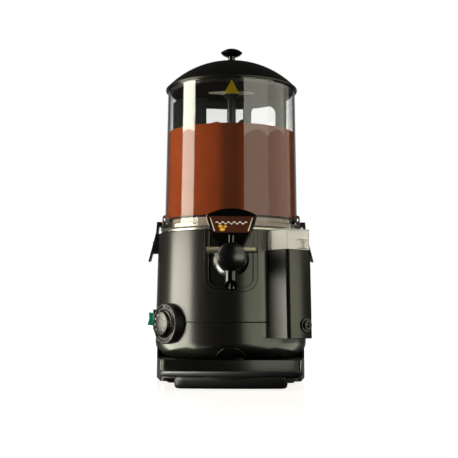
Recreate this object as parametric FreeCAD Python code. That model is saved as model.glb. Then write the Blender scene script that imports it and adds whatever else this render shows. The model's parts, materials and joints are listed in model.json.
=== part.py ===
import FreeCAD, Part
import math
import os

# Sizes are in millimetres. The pieces are made round the tank's axis, with the front towards -Y and the
# undersides of the feet at z = 0. Before they are written they are moved along Y, so that the origin lies
# under the middle of the machine. "Reach" is a distance ahead of the tank's axis.

# Clearances
push_gap = 0.3              # between pieces that are laid or pushed together
running_gap = 0.05          # round a shaft, pin or screw
panel_gap = 0.4             # round the tap panel in its cut-out
overlap = 1.0               # by which a cutting tool or a joined piece runs past a face
same = 0.01                 # lengths nearer to each other than this are equal

# Base, with the shelf that carries the drip tray
base_height = 36.0
base_wall = 3.0
base_half_width = 121.0
base_nose_half_width = 108.5
base_front = 119.0
base_shoulder = 35.0        # reach at which the sides have their full width
base_back = 150.0
base_nose_round = 12.0
base_rear_round = 25.0
cheek_top = 50.0            # the sides stand up beside the body to here
deck_hole_radius = 30.0
shelf_half_width = 66.0
shelf_setback = 30.0        # of its front edge behind the basin's
shelf_round = 20.0
foot_height = 3.0
foot_radius = 11.0
foot_inset = 20.0           # from the base's outline to a foot's middle
foot_bevel = 0.6

# Body, a drafted shell with a round front and a flat back
seam_height = 94.0
body_top = 240.0
body_radius = 126.6         # at the body's underside
body_back = 158.0
body_corner = 40.0
body_draft = 0.0201         # inset for each millimetre of height
body_wall = 3.0
body_bottom_round = 25.0
body_top_round = 2.0
floor_opening_radius = 88.0
tank_seat_radius = 113.5
seam_chamfer = 0.8
scallop_radius = 23.0
scallop_depth = 1.5
base_screw_radius = 2.0
base_screw_x = 58.0
base_screw_front = 75.0
base_screw_back = 105.0

# Tap panel
panel_half_width = 41.8
panel_bottom = 141.6
panel_round = 21.0
panel_recess_half_width = 35.0
panel_recess_depth = 1.8
panel_boss_radius = 24.0
panel_boss_reach = 129.5

# Level box in its pocket, to the right of the front
level_facing = 38.5         # degrees from the front
pocket_half_width = 24.3
pocket_reach = 172.5        # at the pocket's underside
pocket_lean = 0.0255        # inset for each millimetre of height
pocket_bottom = 69.5
pocket_top = 207.0
pocket_wall = 2.5
pocket_floor = 3.5
pocket_round = 2.0
pocket_bite = 1.5           # how far the pocket's sides run into the body's wall
level_box_top = 239.0
level_box_wall = 2.0
level_box_root = 127.8      # reach of its back
level_rim_height = 3.0
level_pipe_height = 156.0
level_pipe_radius = 6.0
level_pipe_bore = 4.5
drain_height = 90.3
drain_offset = 9.4
drain_spigot_radius = 7.0
drain_spigot_bore = 4.0
drain_cap_radius = 11.5
drain_cap_depth = 10.0
drain_cap_wall = 2.5
drain_cap_bevel = 1.0
drain_flange_lip = 2.0
drain_grip_half_width = 7.1
drain_grip_half_thickness = 1.6
drain_grip_proud = 2.5
drain_grip_round = 1.2
drain_flutes = 16
drain_flute_radius = 0.9

# Thermostat dial, to the left of the front
dial_facing = -51.0
dial_height = 91.0
dial_radius = 32.3
dial_proud = 9.4            # ahead of the body's side
dial_depth = 24.0
dial_wall = 3.0
dial_bevel = 1.0
scale_outer_radius = 30.5
scale_inner_radius = 24.0
scale_thickness = 0.8
index_half_width = 1.6
index_root_radius = 26.0
knob_base_radius = 22.0
knob_face_radius = 20.2
knob_depth = 11.2
knob_dish = 1.2
knob_skirt = 2.0
knob_bevel = 0.8
knob_lip = 2.0
knob_lip_fall = 0.2
knob_cap = 4.0              # thickness ahead of the spindle
spindle_radius = 3.0
spindle_length = 28.0
thermostat_radius = 15.0
thermostat_depth = 24.0

# Mains switch, on the left side
switch_y = 22.0
switch_height = 96.0
bezel_half_depth = 12.0
bezel_half_height = 17.5
bezel_proud = 6.6
bezel_round = 1.2
switch_half_depth = 10.0
switch_half_height = 15.5
switch_body_depth = 22.0
switch_back_wall = 3.0
rocker_half_depth = 7.5
rocker_half_height = 10.6
rocker_proud = 15.2
rocker_root = 5.0
rocker_root_half_height = 4.0
rocker_shoulder = 3.0
rocker_dish = 1.6
rocker_edge_round = 0.8
rocker_window_gap = 1.4
rocker_tilt = 7.0           # degrees either side of its middle
rocker_pin_radius = 1.5

# Clips that hold the tank down, one each side
clip_width = 24.0
clip_pivot_x = 128.6
clip_pivot_z = 225.0
clip_pin_radius = 1.5
clip_boss_wall = 1.7
clip_plate = 3.0
clip_hook_tip_x = 115.0
clip_hook_height = 7.5
clip_hook_bevel = 2.0
clip_hook_x = 125.2         # outer face at the hook
clip_bend_x = 126.5         # outer face level with the bracket's top
clip_tab_x = 139.0
clip_tab_z = 194.0
bracket_bottom = 208.0
bracket_top = 243.0
bracket_ear = 3.0
bracket_foot = 1.6
bracket_foot_top = 232.0
bracket_bevel = 2.0

# Clear tank
tank_bottom = 246.0
tank_top = 486.0
tank_foot_radius = 112.0
tank_rim_radius = 108.6
tank_wall = 3.0
tank_flange_radius = 119.0
tank_flange_height = 7.0
tank_flange_bevel = 1.0
tank_collar_bore = 100.0
tank_collar_height = 15.0
tank_floor_fall = 3.0
lug_facing = 70.0
lug_length = 26.0
lug_radius = 117.5
lug_thickness = 7.5
lug_height = 16.0
lug_hole_radius = 4.5
lug_round = 5.0
marker_width = 24.4
marker_height = 22.9
marker_bottom = 458.6
marker_thickness = 0.4

# Vessel and water bath under the tank
gasket_bottom = 243.0
gasket_inner_radius = 101.0
gasket_inset = 1.0          # inside the vessel's flange
vessel_flange_radius = 118.0
vessel_flange = 1.5
vessel_bore = 98.0
vessel_floor = 170.0
bath_radius = 112.0
bath_floor = 146.0
sheet = 1.2                 # stainless sheet
outlet_bore = 11.2
outlet_reach = 119.0
element_ring_radius = 70.0
element_radius = 4.0
element_leg_radius = 3.5
element_height = 152.0
element_leg_x = 12.0
element_leg_bottom = 136.0
cutout_radius = 12.0
cutout_depth = 12.0
cutout_flange = 4.0
cutout_reach = 85.0

# Drive and stirrer
motor_radius = 30.0
motor_bottom = 48.0
motor_round = 3.0
gearbox_half_width = 35.0
gearbox_half_depth = 30.0
gearbox_height = 24.0
gearbox_round = 4.0
bracket_plate_bottom = 117.0
bracket_sheet = 2.0
bracket_half_span = 55.0
bracket_half_depth = 34.0
bracket_tab = 14.0
gear_screw_x = 26.0
gear_screw_y = 21.0
screw_radius = 2.0
screw_head_radius = 4.0
screw_head_height = 2.5
screw_length = 10.0
shaft_radius = 4.0
shaft_socket = 5.0
shaft_top = 494.0
coupling_bottom = 121.0
coupling_top = 137.0
coupling_radius = 8.0
tube_radius = 5.6
tube_bore = 4.6
tube_bottom = 139.0
tube_top = 466.0
bush_height = 8.0
hub_radius = 7.5
hub_bore = 6.3
hub_bottom = 176.0
cone_bottom = 473.0
cone_top = 481.0
cone_radius = 14.8
cone_wall = 1.5
hub_cap_thickness = 2.0
wing_span = 39.0
wing_root_height = 8.0
wing_tip_height = 2.2
wing_thickness = 3.0
nut_radius = 7.0
nut_height = 15.0
blade_thickness = 4.0
blade_bottom = 268.0
blade_top = 476.0
solid_blade_reach = 100.5
solid_blade_inner = 43.0
solid_blade_bevel = 10.0
open_blade_inner = 20.0
open_blade_reach = 94.5
window_inner = 34.0
window_outer = 75.8
window_bottom = 284.0
window_top = 464.0
window_round = 15.0
lobe_x = 82.0
lobe_height = 430.0
lobe_radius = 14.4
small_lobe_radius = 9.0
arm_height = 12.0
arm_top_height = 470.0
foot_blade_reach = 86.0
foot_blade_height = 20.0
foot_collar_wall = 3.0
foot_blade_sweep = 45.0     # degrees from the wings' plane

# Lid
lid_radius = 112.3
lid_rim_height = 2.2
lid_apex = 538.0
lid_wall = 2.5
lid_skirt_radius = 104.5
lid_skirt_wall = 2.5
lid_skirt_bottom = 480.0
lid_shoulder = 4.0          # from the skirt's bore out to the dome's inner edge
lid_knob_stem = 6.0
lid_knob_stem_height = 11.0
lid_knob_radius = 18.6
lid_knob_edge = 7.0
lid_knob_hip_radius = 13.8
lid_knob_hip_height = 2.5
lid_knob_height = 14.0

# Tap
tap_height = 191.0
spigot_radius = 9.8
spigot_end_reach = 99.0
collar_radius = 23.5
collar_thickness = 3.5
barrel_radius = 15.0
barrel_reach = 146.0
barrel_bevel = 2.0
neck_radius = 9.6
neck_reach = 166.0
guide_length = 6.0
tap_bore = 6.5
spout_reach = 156.0
spout_radius = 9.4
spout_bore = 6.3
spout_tip = 141.6
spout_lip = 158.5           # height of the slanting mouth's front edge
ring_nut_radius = 28.0
ring_nut_front_wall = 5.7
ring_nut_skirt = 3.5        # how far the nut reaches back over the panel's boss
ring_nut_round = 1.5
seal_reach = 106.0
seal_width = 4.0
rod_radius = 3.0
rod_tip_reach = 178.4
rod_button_radius = 4.0
rod_button = 3.0
valve_radius = 8.5
valve_thickness = 3.0

# Lever handle of the tap
pivot_reach = 165.0
pivot_rise = 12.6           # of the pivot above the tap's axis
pivot_pin_radius = 3.0
pivot_pin_half_length = 39.5
pivot_boss_radius = 6.5
lug_half_width = 8.5
fork_inner = 10.2
fork_outer = 15.2
fork_half_depth = 6.0
spring_inner = 16.0
spring_outer = 38.0
spring_radius = 4.9
spring_wire = 2.0
spring_leg_x = 33.0
spring_leg_radius = 0.6
spring_leg_top = 232.0
ball_reach = 200.0
ball_height = 190.8
ball_radius = 21.1
shield_front_reach = 199.0
shield_thickness = 7.0
shield_half_width = 38.3
shield_apex = 263.2
shield_corner = 252.5
shield_waist_half_width = 29.6
shield_waist = 227.0
shield_foot_half_width = 16.8
shield_foot = 205.0
shield_round = 5.0
shield_edge_round = 1.5
rib_half_width = 4.0
rib_top = 224.0
rib_proud = 6.0
rib_round = 2.4
plate_bottom = 227.1
plate_top = 251.1
plate_bottom_half_width = 26.6
plate_top_half_width = 34.2
plate_thickness = 0.6

# Drip tray
tray_top = 18.5
tray_skirt_bottom = 1.0
tray_rear_half_width = 107.0
tray_front_half_width = 94.0
tray_front_corner = 200.0   # reach at which the front half-width is met
tray_reach = 235.0
tray_bow_radius = 200.0
tray_corner_round = 18.0
tray_flange = 3.5
basin_half_width = 81.0
basin_reach = 233.0
basin_bow_radius = 91.0
basin_bottom_round = 6.0
basin_wall = 2.5
basin_floor = 8.0
basin_rim = 9.0             # from the tray's edge to the grille
grille_thickness = 2.6
grille_slot = 5.0
grille_pitch = 11.0
grille_margin = 12.0
grille_bar_half_width = 1.5
rib_spacing = 30.0
tray_rib_half_width = 1.5

# Rear
vent_half_width = 74.0
vent_bottom = 112.0
vent_top = 222.0
vent_lap = 8.0
vent_sheet = 1.5
vent_slot_half_width = 50.0
vent_slot = 4.0
vent_pitch = 12.0
gland_x = 70.0
gland_height = 76.0
gland_back = 174.0          # how far the gland's end is behind the tank's axis
gland_flange = 6.0
gland_thread_end = 2.0      # past its nut
gland_radius = 11.0
gland_tip_radius = 8.0
gland_thread_radius = 8.0
gland_bore = 3.8
gland_nut_radius = 12.0
gland_nut_thickness = 4.0
terminal_length = 50.0
terminal_width = 20.0
terminal_height = 16.0
terminal_y = 112.0
terminal_pitch = 14.3
terminal_hole_radius = 3.0

# Stations that follow from the sizes above
far = 400.0                 # longer than anything that a cutting tool goes through
body_bottom = base_height
front_shift = (tray_reach - gland_back) / 2
tank_flange_top = tank_bottom + tank_flange_height
valve_seat_reach = spigot_end_reach - push_gap
collar_reach = panel_boss_reach + collar_thickness
ring_nut_rear = panel_boss_reach - ring_nut_skirt
ring_nut_reach = collar_reach + push_gap + ring_nut_front_wall
pivot_height = tap_height + pivot_rise
dial_reach = body_radius + dial_proud
shelf_reach = basin_reach - shelf_setback
level_box_bottom = pocket_bottom + pocket_floor + push_gap


def vec(x, y, z):
    return FreeCAD.Vector(x, y, z)


origin = vec(0, 0, 0)
x_axis = vec(1, 0, 0)
y_axis = vec(0, 1, 0)
z_axis = vec(0, 0, 1)


def block(x_range, y_range, z_range):
    """Box between two values on each axis."""
    sizes = [high - low for low, high in (x_range, y_range, z_range)]
    return Part.makeBox(*sizes, vec(x_range[0], y_range[0], z_range[0]))


def slab(corners, along):
    """Flat face through the corners, carried along a direction."""
    return Part.Face(Part.makePolygon(corners + corners[:1])).extrude(along)


def prism(plan, low, high):
    """Upright prism over plan points."""
    return slab([vec(x, y, low) for x, y in plan], vec(0, 0, high - low))


def rod(radius, start, end):
    """Round bar from one point to another."""
    along = end.sub(start)
    return Part.makeCylinder(radius, along.Length, start, along)


def tube(outer, inner, low, high):
    """Upright tube on the tank's axis."""
    return turned([(inner, low), (outer, low), (outer, high), (inner, high)])


def turned(profile):
    """Solid of revolution about Z through (radius, height) points."""
    corners = [vec(radius, 0, height) for radius, height in profile]
    return Part.Face(Part.makePolygon(corners + corners[:1])).revolve(origin, z_axis, 360)


def spun(edges):
    """Solid of revolution about Z from a closed run of edges in the XZ plane."""
    return Part.Face(Part.Wire(edges)).revolve(origin, z_axis, 360)


def arc(start, middle, end):
    return Part.Arc(start, middle, end).toShape()


def placed(shape, facing):
    """A piece made at the front, swung round the tank's axis to where it belongs."""
    swung = shape.copy()
    swung.rotate(origin, z_axis, facing)
    return swung


def outward(shape, height, facing=0.0, offset=0.0):
    """A piece made along +Z, laid down to point out of the front at a height, then swung round."""
    laid = shape.copy()
    laid.rotate(origin, x_axis, 90)
    laid.translate(vec(offset, 0, height))
    return placed(laid, facing)


def mirrored(shape):
    """The piece on the other side of the machine."""
    return shape.mirror(origin, x_axis)


def moved(shape, x, y, z):
    copy = shape.copy()
    copy.translate(vec(x, y, z))
    return copy


def level_edges(shape, height):
    """Edges that lie wholly at one height."""
    return [edge for edge in shape.Edges
            if abs(edge.BoundBox.ZMin - height) < same and abs(edge.BoundBox.ZMax - height) < same]


def level_side_edges(shape, x):
    """Edges that lie wholly in one plane of constant x."""
    return [edge for edge in shape.Edges
            if abs(edge.BoundBox.XMin - x) < same and abs(edge.BoundBox.XMax - x) < same]


def upright_edges(shape):
    """Edges that climb more than they run."""
    return [edge for edge in shape.Edges
            if edge.BoundBox.ZLength > max(edge.BoundBox.XLength, edge.BoundBox.YLength)]


def steep_edges(shape, wanted):
    """Upright edges whose middle meets a condition on x and y."""
    return [edge for edge in upright_edges(shape) if wanted(edge.CenterOfMass.x, edge.CenterOfMass.y)]


# Base ---------------------------------------------------------------------------------------------------

def base_block(inset, low, high):
    """Prism over the base's plan: a narrower nose, shoulders, then straight sides to the back."""
    nose = base_nose_half_width - inset
    side = base_half_width - inset
    front = inset - base_front
    back = base_back - inset
    plan = [(-nose, front), (nose, front), (side, -base_shoulder), (side, back),
            (-side, back), (-side, -base_shoulder)]
    solid = prism(plan, low, high)
    nose_edges = steep_edges(solid, lambda x, y: y < -base_shoulder - overlap)
    solid = solid.makeFillet(base_nose_round - inset, nose_edges)
    return solid.makeFillet(base_rear_round - inset, steep_edges(solid, lambda x, y: y > back - overlap))


def base_tub():
    """Hollow base with a deck under the body, cheeks beside it and the tray's shelf in front."""
    floor_top = foot_height + base_wall
    tub = base_block(0, foot_height, base_height)
    tub = tub.cut(base_block(base_wall, floor_top, base_height - base_wall))
    cheeks = base_block(0, base_height, cheek_top).cut(base_block(base_wall, base_height, cheek_top))
    cheeks = cheeks.common(block((-far, far), (-base_shoulder, far), (0, far)))
    cheeks = cheeks.cut(body_solid(-push_gap, body_bottom - push_gap, seam_height, body_bottom_round))
    shelf = block((-shelf_half_width, shelf_half_width), (-shelf_reach, -base_front + base_wall),
                  (foot_height, floor_top))
    shelf = shelf.makeFillet(shelf_round, steep_edges(shelf, lambda x, y: y < -base_front))
    tub = tub.fuse(cheeks).fuse(shelf)
    tub = tub.cut(rod(deck_hole_radius, vec(0, 0, base_height - base_wall), vec(0, 0, base_height)))
    for x, y in base_screw_places():
        tub = tub.cut(rod(base_screw_radius + running_gap, vec(x, y, foot_height), vec(x, y, base_height)))
    return tub.removeSplitter()


def foot_places():
    front = foot_inset - base_front
    back = base_back - foot_inset - foot_radius
    nose = base_nose_half_width - foot_inset
    side = base_half_width - foot_inset - foot_radius
    return [(nose, front), (-nose, front), (side, back), (-side, back)]


def rubber_feet():
    feet = [rod(foot_radius, vec(x, y, 0), vec(x, y, foot_height)) for x, y in foot_places()]
    return Part.Compound([foot.makeChamfer(foot_bevel, level_edges(foot, 0)) for foot in feet])


def base_screw_places():
    return [(side * base_screw_x, y) for side in (-1, 1) for y in (-base_screw_front, base_screw_back)]


def base_screws():
    """Screws from under the deck into the body's floor."""
    screws = []
    for x, y in base_screw_places():
        head_top = base_height - base_wall
        shank = rod(base_screw_radius, vec(x, y, head_top), vec(x, y, body_bottom + body_wall))
        head = rod(screw_head_radius, vec(x, y, head_top - screw_head_height), vec(x, y, head_top))
        screws.append(shank.fuse(head).removeSplitter())
    return Part.Compound(screws)


# Body ---------------------------------------------------------------------------------------------------

def body_outline(inset, height):
    """Plan of the body at a height: a half circle in front, straight sides and a flat back."""
    shrink = inset + body_draft * (height - body_bottom)
    radius = body_radius - shrink
    back = body_back - shrink
    corner = body_corner - shrink
    side = back - corner
    rear = radius - corner
    elbow = corner * math.sqrt(0.5)
    return Part.Wire([
        arc(vec(-radius, 0, height), vec(0, -radius, height), vec(radius, 0, height)),
        Part.makeLine(vec(radius, 0, height), vec(radius, side, height)),
        arc(vec(radius, side, height), vec(rear + elbow, side + elbow, height), vec(rear, back, height)),
        Part.makeLine(vec(rear, back, height), vec(-rear, back, height)),
        arc(vec(-rear, back, height), vec(-rear - elbow, side + elbow, height), vec(-radius, side, height)),
        Part.makeLine(vec(-radius, side, height), vec(-radius, 0, height)),
    ])


def body_solid(inset, low, high, rounding=0.0):
    """The body as a full block, inset from its outer face, with its lower edge rounded."""
    solid = Part.makeLoft([body_outline(inset, low), body_outline(inset, high)], True, True)
    if rounding > 0:
        solid = solid.makeFillet(rounding - inset, level_edges(solid, low))
    return solid


def body_side(height):
    """Half-width of the body's straight side at a height."""
    return body_radius - body_draft * (height - body_bottom)


def dial_hole():
    hole = Part.makeCylinder(dial_radius + push_gap, dial_reach / 2, vec(0, 0, dial_reach / 2))
    return outward(hole, dial_height, dial_facing)


def switch_hole():
    depth = switch_half_depth + push_gap
    height = switch_half_height + push_gap
    return block((-far, -body_radius / 2), (switch_y - depth, switch_y + depth),
                 (switch_height - height, switch_height + height))


def pocket_block(inset, low, high, root):
    """Upright box that points out of the front, with its face leaning back as it climbs."""
    half = pocket_half_width - inset
    outlines = []
    for height in (low, high):
        reach = pocket_reach - inset - pocket_lean * (height - pocket_bottom)
        corners = [vec(-half, -reach, height), vec(half, -reach, height),
                   vec(half, -root, height), vec(-half, -root, height)]
        outlines.append(Part.makePolygon(corners + corners[:1]))
    return Part.makeLoft(outlines, True, True)


def pocket_part(low, high, seam):
    """One half of the pocket, swung to its place, to be joined to the body's shell."""
    solid = pocket_block(0, low, high, body_radius / 2)
    solid = solid.makeFillet(pocket_round, steep_edges(solid, lambda x, y: y < -body_radius))
    solid = solid.makeChamfer(seam_chamfer, level_edges(solid, seam))
    return placed(solid, level_facing).cut(body_solid(pocket_bite, low - overlap, high + overlap))


def pocket_cavity():
    """Room for the level box, outside the body's wall."""
    room = pocket_block(pocket_wall, pocket_bottom + pocket_floor, body_top, body_radius / 2)
    return placed(room, level_facing).cut(body_solid(0, body_bottom, body_top))


def drain_passage(radius):
    passage = outward(Part.makeCylinder(radius, far), drain_height, level_facing, drain_offset)
    return passage.cut(body_solid(0, body_bottom, body_top))


def scallop_tool():
    """Shallow round recess in the rounded underside, above the tray."""
    height = body_bottom + body_bottom_round
    centre = vec(body_side(height) - body_bottom_round, 0, height)

    def rounding(radius, angle):
        turn = math.radians(angle)
        return centre.add(vec(radius * math.cos(turn), 0, radius * math.sin(turn)))

    inner = body_bottom_round - scallop_depth
    outer = body_bottom_round + scallop_depth
    skin = spun([arc(rounding(inner, -90), rounding(inner, -45), rounding(inner, 0)),
                 Part.makeLine(rounding(inner, 0), rounding(outer, 0)),
                 arc(rounding(outer, 0), rounding(outer, -45), rounding(outer, -90)),
                 Part.makeLine(rounding(outer, -90), rounding(inner, -90))])
    return skin.common(rod(scallop_radius, vec(0, -far, body_bottom), vec(0, 0, body_bottom)))


def lower_body_shell():
    """Lower casing, with a rounded underside that stands on the deck."""
    outer = body_solid(0, body_bottom, seam_height, body_bottom_round)
    outer = outer.makeChamfer(seam_chamfer, level_edges(outer, seam_height))
    shell = outer.fuse(pocket_part(pocket_bottom, seam_height, seam_height))
    room = body_solid(body_wall, body_bottom + body_wall, seam_height + overlap, body_bottom_round)
    shell = shell.cut(room).cut(pocket_cavity())
    shell = shell.cut(rod(floor_opening_radius, origin, vec(0, 0, body_bottom + body_wall)))
    shell = shell.cut(dial_hole()).cut(switch_hole()).cut(drain_passage(drain_spigot_radius + push_gap))
    shell = shell.cut(scallop_tool())
    shell = shell.cut(rod(gland_thread_radius + running_gap, vec(gland_x, 0, gland_height),
                          vec(gland_x, far, gland_height)))
    for x, y in base_screw_places():
        shell = shell.cut(rod(base_screw_radius + running_gap, vec(x, y, body_bottom),
                              vec(x, y, body_bottom + body_wall)))
    return shell.removeSplitter()


def upper_blank():
    """Upper casing before its openings: drafted wall and a deck with the tank's seat."""
    outer = body_solid(0, seam_height, body_top)
    outer = outer.makeChamfer(seam_chamfer, level_edges(outer, seam_height))
    outer = outer.makeFillet(body_top_round, level_edges(outer, body_top))
    blank = outer.cut(body_solid(body_wall, seam_height - overlap, body_top - body_wall))
    return blank.cut(rod(tank_seat_radius, vec(0, 0, body_top - 2 * body_wall), vec(0, 0, body_top)))


def panel_tool(half_width, bottom, rounding):
    """U-shaped block through the front wall, open at the top."""
    back = -vessel_bore
    solid = block((-half_width, half_width), (back - body_radius, back), (bottom, body_top + overlap))
    corners = [edge for edge in level_edges(solid, bottom) if edge.BoundBox.YLength > half_width]
    return solid.makeFillet(rounding, corners)


def upper_body_shell():
    """Upper casing with the level box's pocket and the cut-outs for panel, dial, switch and vent."""
    shell = upper_blank().fuse(pocket_part(seam_height, pocket_top, seam_height))
    shell = shell.cut(pocket_cavity())
    shell = shell.cut(panel_tool(panel_half_width, panel_bottom, panel_round))
    shell = shell.cut(dial_hole()).cut(switch_hole()).cut(drain_passage(drain_spigot_radius + push_gap))
    shell = shell.cut(outward(Part.makeCylinder(level_pipe_radius + running_gap, level_box_root),
                              level_pipe_height, level_facing))
    vent = block((-vent_half_width, vent_half_width), (body_back / 2, far), (vent_bottom, vent_top))
    shell = shell.cut(vent)
    for x, z in panel_screw_places():
        shell = shell.cut(rod(screw_radius + running_gap, vec(x, body_back / 2, z), vec(x, far, z)))
    return shell.removeSplitter()


def tap_panel():
    """Panel round the tap, set in the body's front, with a recess and a boss for the ring nut."""
    half = panel_half_width - panel_gap
    panel = upper_blank().common(panel_tool(half, panel_bottom + panel_gap, panel_round - panel_gap))
    inset = panel_half_width - panel_recess_half_width
    recess = panel_tool(panel_recess_half_width, panel_bottom + inset, panel_round - inset)
    panel = panel.cut(recess.cut(body_solid(panel_recess_depth, body_bottom, body_top + 2 * overlap)))
    boss_root = body_solid((panel_recess_depth + body_wall) / 2, body_bottom, body_top)
    boss = outward(Part.makeCylinder(panel_boss_radius, panel_boss_reach), tap_height).cut(boss_root)
    pipe_room = Part.makeCylinder(outlet_bore + sheet + 2 * push_gap, outlet_reach + push_gap)
    spigot_room = Part.makeCylinder(spigot_radius + push_gap, far / 2)
    panel = panel.fuse(boss).cut(outward(pipe_room, tap_height))
    return panel.cut(outward(spigot_room, tap_height)).removeSplitter()


# Level box ----------------------------------------------------------------------------------------------

def level_box():
    """Clear open-topped box that shows the water's level, with a rim that lies on the pocket's width."""
    inset = pocket_wall + panel_gap
    outer = pocket_block(inset, level_box_bottom, level_box_top, level_box_root)
    outer = outer.makeFillet(pocket_round, upright_edges(outer))
    rim = pocket_block(push_gap, level_box_top - level_rim_height, level_box_top, level_box_root)
    rim = rim.makeFillet(pocket_round, steep_edges(rim, lambda x, y: y < -body_radius - pocket_wall))
    inner = pocket_block(inset + level_box_wall, level_box_bottom + level_box_wall, level_box_top,
                         level_box_root + level_box_wall)
    box = placed(outer.fuse(rim).cut(inner), level_facing)
    middle = (level_box_root + pocket_reach) / 2
    box = box.cut(outward(Part.makeCylinder(level_pipe_radius + running_gap, middle), level_pipe_height,
                          level_facing))
    drain = Part.makeCylinder(drain_spigot_radius + running_gap, far, vec(0, 0, middle))
    return box.cut(outward(drain, drain_height, level_facing, drain_offset)).removeSplitter()


def level_pipe():
    """Pipe that joins the level box to the water bath."""
    start = bath_radius - 2 * sheet
    end = level_box_root + level_box_wall + overlap
    pipe = turned([(level_pipe_bore, start), (level_pipe_radius, start), (level_pipe_radius, end),
                   (level_pipe_bore, end)])
    return outward(pipe, level_pipe_height, level_facing)


def drain_face_reach():
    """Reach of the pocket's face at the drain's height."""
    return pocket_reach - pocket_lean * (drain_height - pocket_bottom)


def drain_spigot():
    """Spigot from the level box through the pocket's face, with a flange inside the box."""
    face = drain_face_reach()
    inside = face - pocket_wall - panel_gap - level_box_wall
    end = face + drain_cap_depth - drain_cap_wall - push_gap
    flange = drain_spigot_radius + drain_flange_lip
    back = inside - drain_flange_lip
    spigot = turned([(drain_spigot_bore, back), (flange, back), (flange, inside - push_gap),
                     (drain_spigot_radius, inside - push_gap), (drain_spigot_radius, end),
                     (drain_spigot_bore, end)])
    return outward(spigot, drain_height, level_facing, drain_offset)


def drain_cap():
    """Screw cap on the drain, with a finger grip across its face."""
    back = drain_face_reach() + push_gap
    front = back - push_gap + drain_cap_depth
    bore = drain_spigot_radius + running_gap
    cap = turned([(bore, back), (drain_cap_radius, back), (drain_cap_radius, front - drain_cap_bevel),
                  (drain_cap_radius - drain_cap_bevel, front), (0, front), (0, front - drain_cap_wall),
                  (bore, front - drain_cap_wall)])
    grip = block((-drain_grip_half_width, drain_grip_half_width),
                 (-drain_grip_half_thickness, drain_grip_half_thickness),
                 (front - overlap, front + drain_grip_proud))
    grip = grip.makeFillet(drain_grip_round, upright_edges(grip)
                           + level_edges(grip, front + drain_grip_proud))
    edge = drain_cap_radius + push_gap
    flute = rod(drain_flute_radius, vec(edge, 0, back), vec(edge, 0, front))
    for step in range(drain_flutes):
        cap = cap.cut(placed(flute, step * 360 / drain_flutes))
    return outward(cap.fuse(grip).removeSplitter(), drain_height, level_facing, drain_offset)


# Dial ---------------------------------------------------------------------------------------------------

def dial_housing():
    """Round housing across the seam, closed in front by the plate that the knob turns on."""
    rear = dial_reach - dial_depth
    hole = spindle_radius + push_gap
    inner = dial_radius - dial_wall
    plate = dial_reach - dial_wall
    housing = turned([(hole, plate), (inner, plate), (inner, rear), (dial_radius, rear),
                      (dial_radius, dial_reach - dial_bevel), (dial_radius - dial_bevel, dial_reach),
                      (hole, dial_reach)])
    return outward(housing, dial_height, dial_facing)


def dial_scale_ring():
    """Raised ring round the knob, with a notch at the top as its index."""
    ring = tube(scale_outer_radius, scale_inner_radius, dial_reach, dial_reach + scale_thickness)
    rim = scale_outer_radius + overlap
    notch = slab([vec(-index_half_width, rim, dial_reach), vec(index_half_width, rim, dial_reach),
                  vec(0, index_root_radius, dial_reach)], vec(0, 0, scale_thickness))
    return outward(ring.cut(notch), dial_height, dial_facing)


def spindle_tip():
    """Reach of the spindle's end, inside the knob."""
    return dial_reach + push_gap + knob_depth - knob_dish - knob_cap


def thermostat_knob():
    """Round knob with a dished face."""
    back = dial_reach + push_gap
    front = back + knob_depth
    socket = spindle_tip()
    knob = turned([(spindle_radius, back), (knob_base_radius, back), (knob_base_radius, back + knob_skirt),
                   (knob_face_radius, front - knob_bevel), (knob_face_radius - knob_bevel, front),
                   (knob_face_radius - knob_lip, front - knob_lip_fall), (0, front - knob_dish), (0, socket),
                   (spindle_radius, socket)])
    return outward(knob, dial_height, dial_facing)


def thermostat_spindle():
    root = spindle_tip() - spindle_length
    spindle = Part.makeCylinder(spindle_radius, spindle_length, vec(0, 0, root))
    return outward(spindle, dial_height, dial_facing)


def thermostat_body():
    """Thermostat behind the dial's plate."""
    front = dial_reach - dial_wall
    rear = front - thermostat_depth
    bore = spindle_radius + running_gap
    bore_end = spindle_tip() - spindle_length - push_gap
    body = turned([(bore, front), (thermostat_radius, front), (thermostat_radius, rear), (0, rear),
                   (0, bore_end), (bore, bore_end)])
    return outward(body, dial_height, dial_facing)


# Switch -------------------------------------------------------------------------------------------------

def switch_face():
    """How far out the bezel's face stands."""
    return body_side(switch_height) + bezel_proud


def switch_bezel():
    """Switch body through the side wall, with a bezel outside and a window for the rocker."""
    face = switch_face()
    seat = body_side(switch_height - bezel_half_height)
    bezel = block((-face, -seat), (switch_y - bezel_half_depth, switch_y + bezel_half_depth),
                  (switch_height - bezel_half_height, switch_height + bezel_half_height))
    bezel = bezel.makeFillet(bezel_round, level_side_edges(bezel, -face))
    rear = -seat + switch_body_depth
    body = block((-seat - overlap, rear), (switch_y - switch_half_depth, switch_y + switch_half_depth),
                 (switch_height - switch_half_height, switch_height + switch_half_height))
    depth = rocker_half_depth + push_gap
    height = rocker_half_height + rocker_window_gap
    window = block((-face - overlap, rear - switch_back_wall), (switch_y - depth, switch_y + depth),
                   (switch_height - height, switch_height + height))
    return bezel.fuse(body).cut(window).cut(switch_pin()).removeSplitter()


def rocker_pin_x():
    return -body_side(switch_height)


def switch_pin():
    reach = switch_half_depth
    return rod(rocker_pin_radius, vec(rocker_pin_x(), switch_y - reach, switch_height),
               vec(rocker_pin_x(), switch_y + reach, switch_height))


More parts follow.
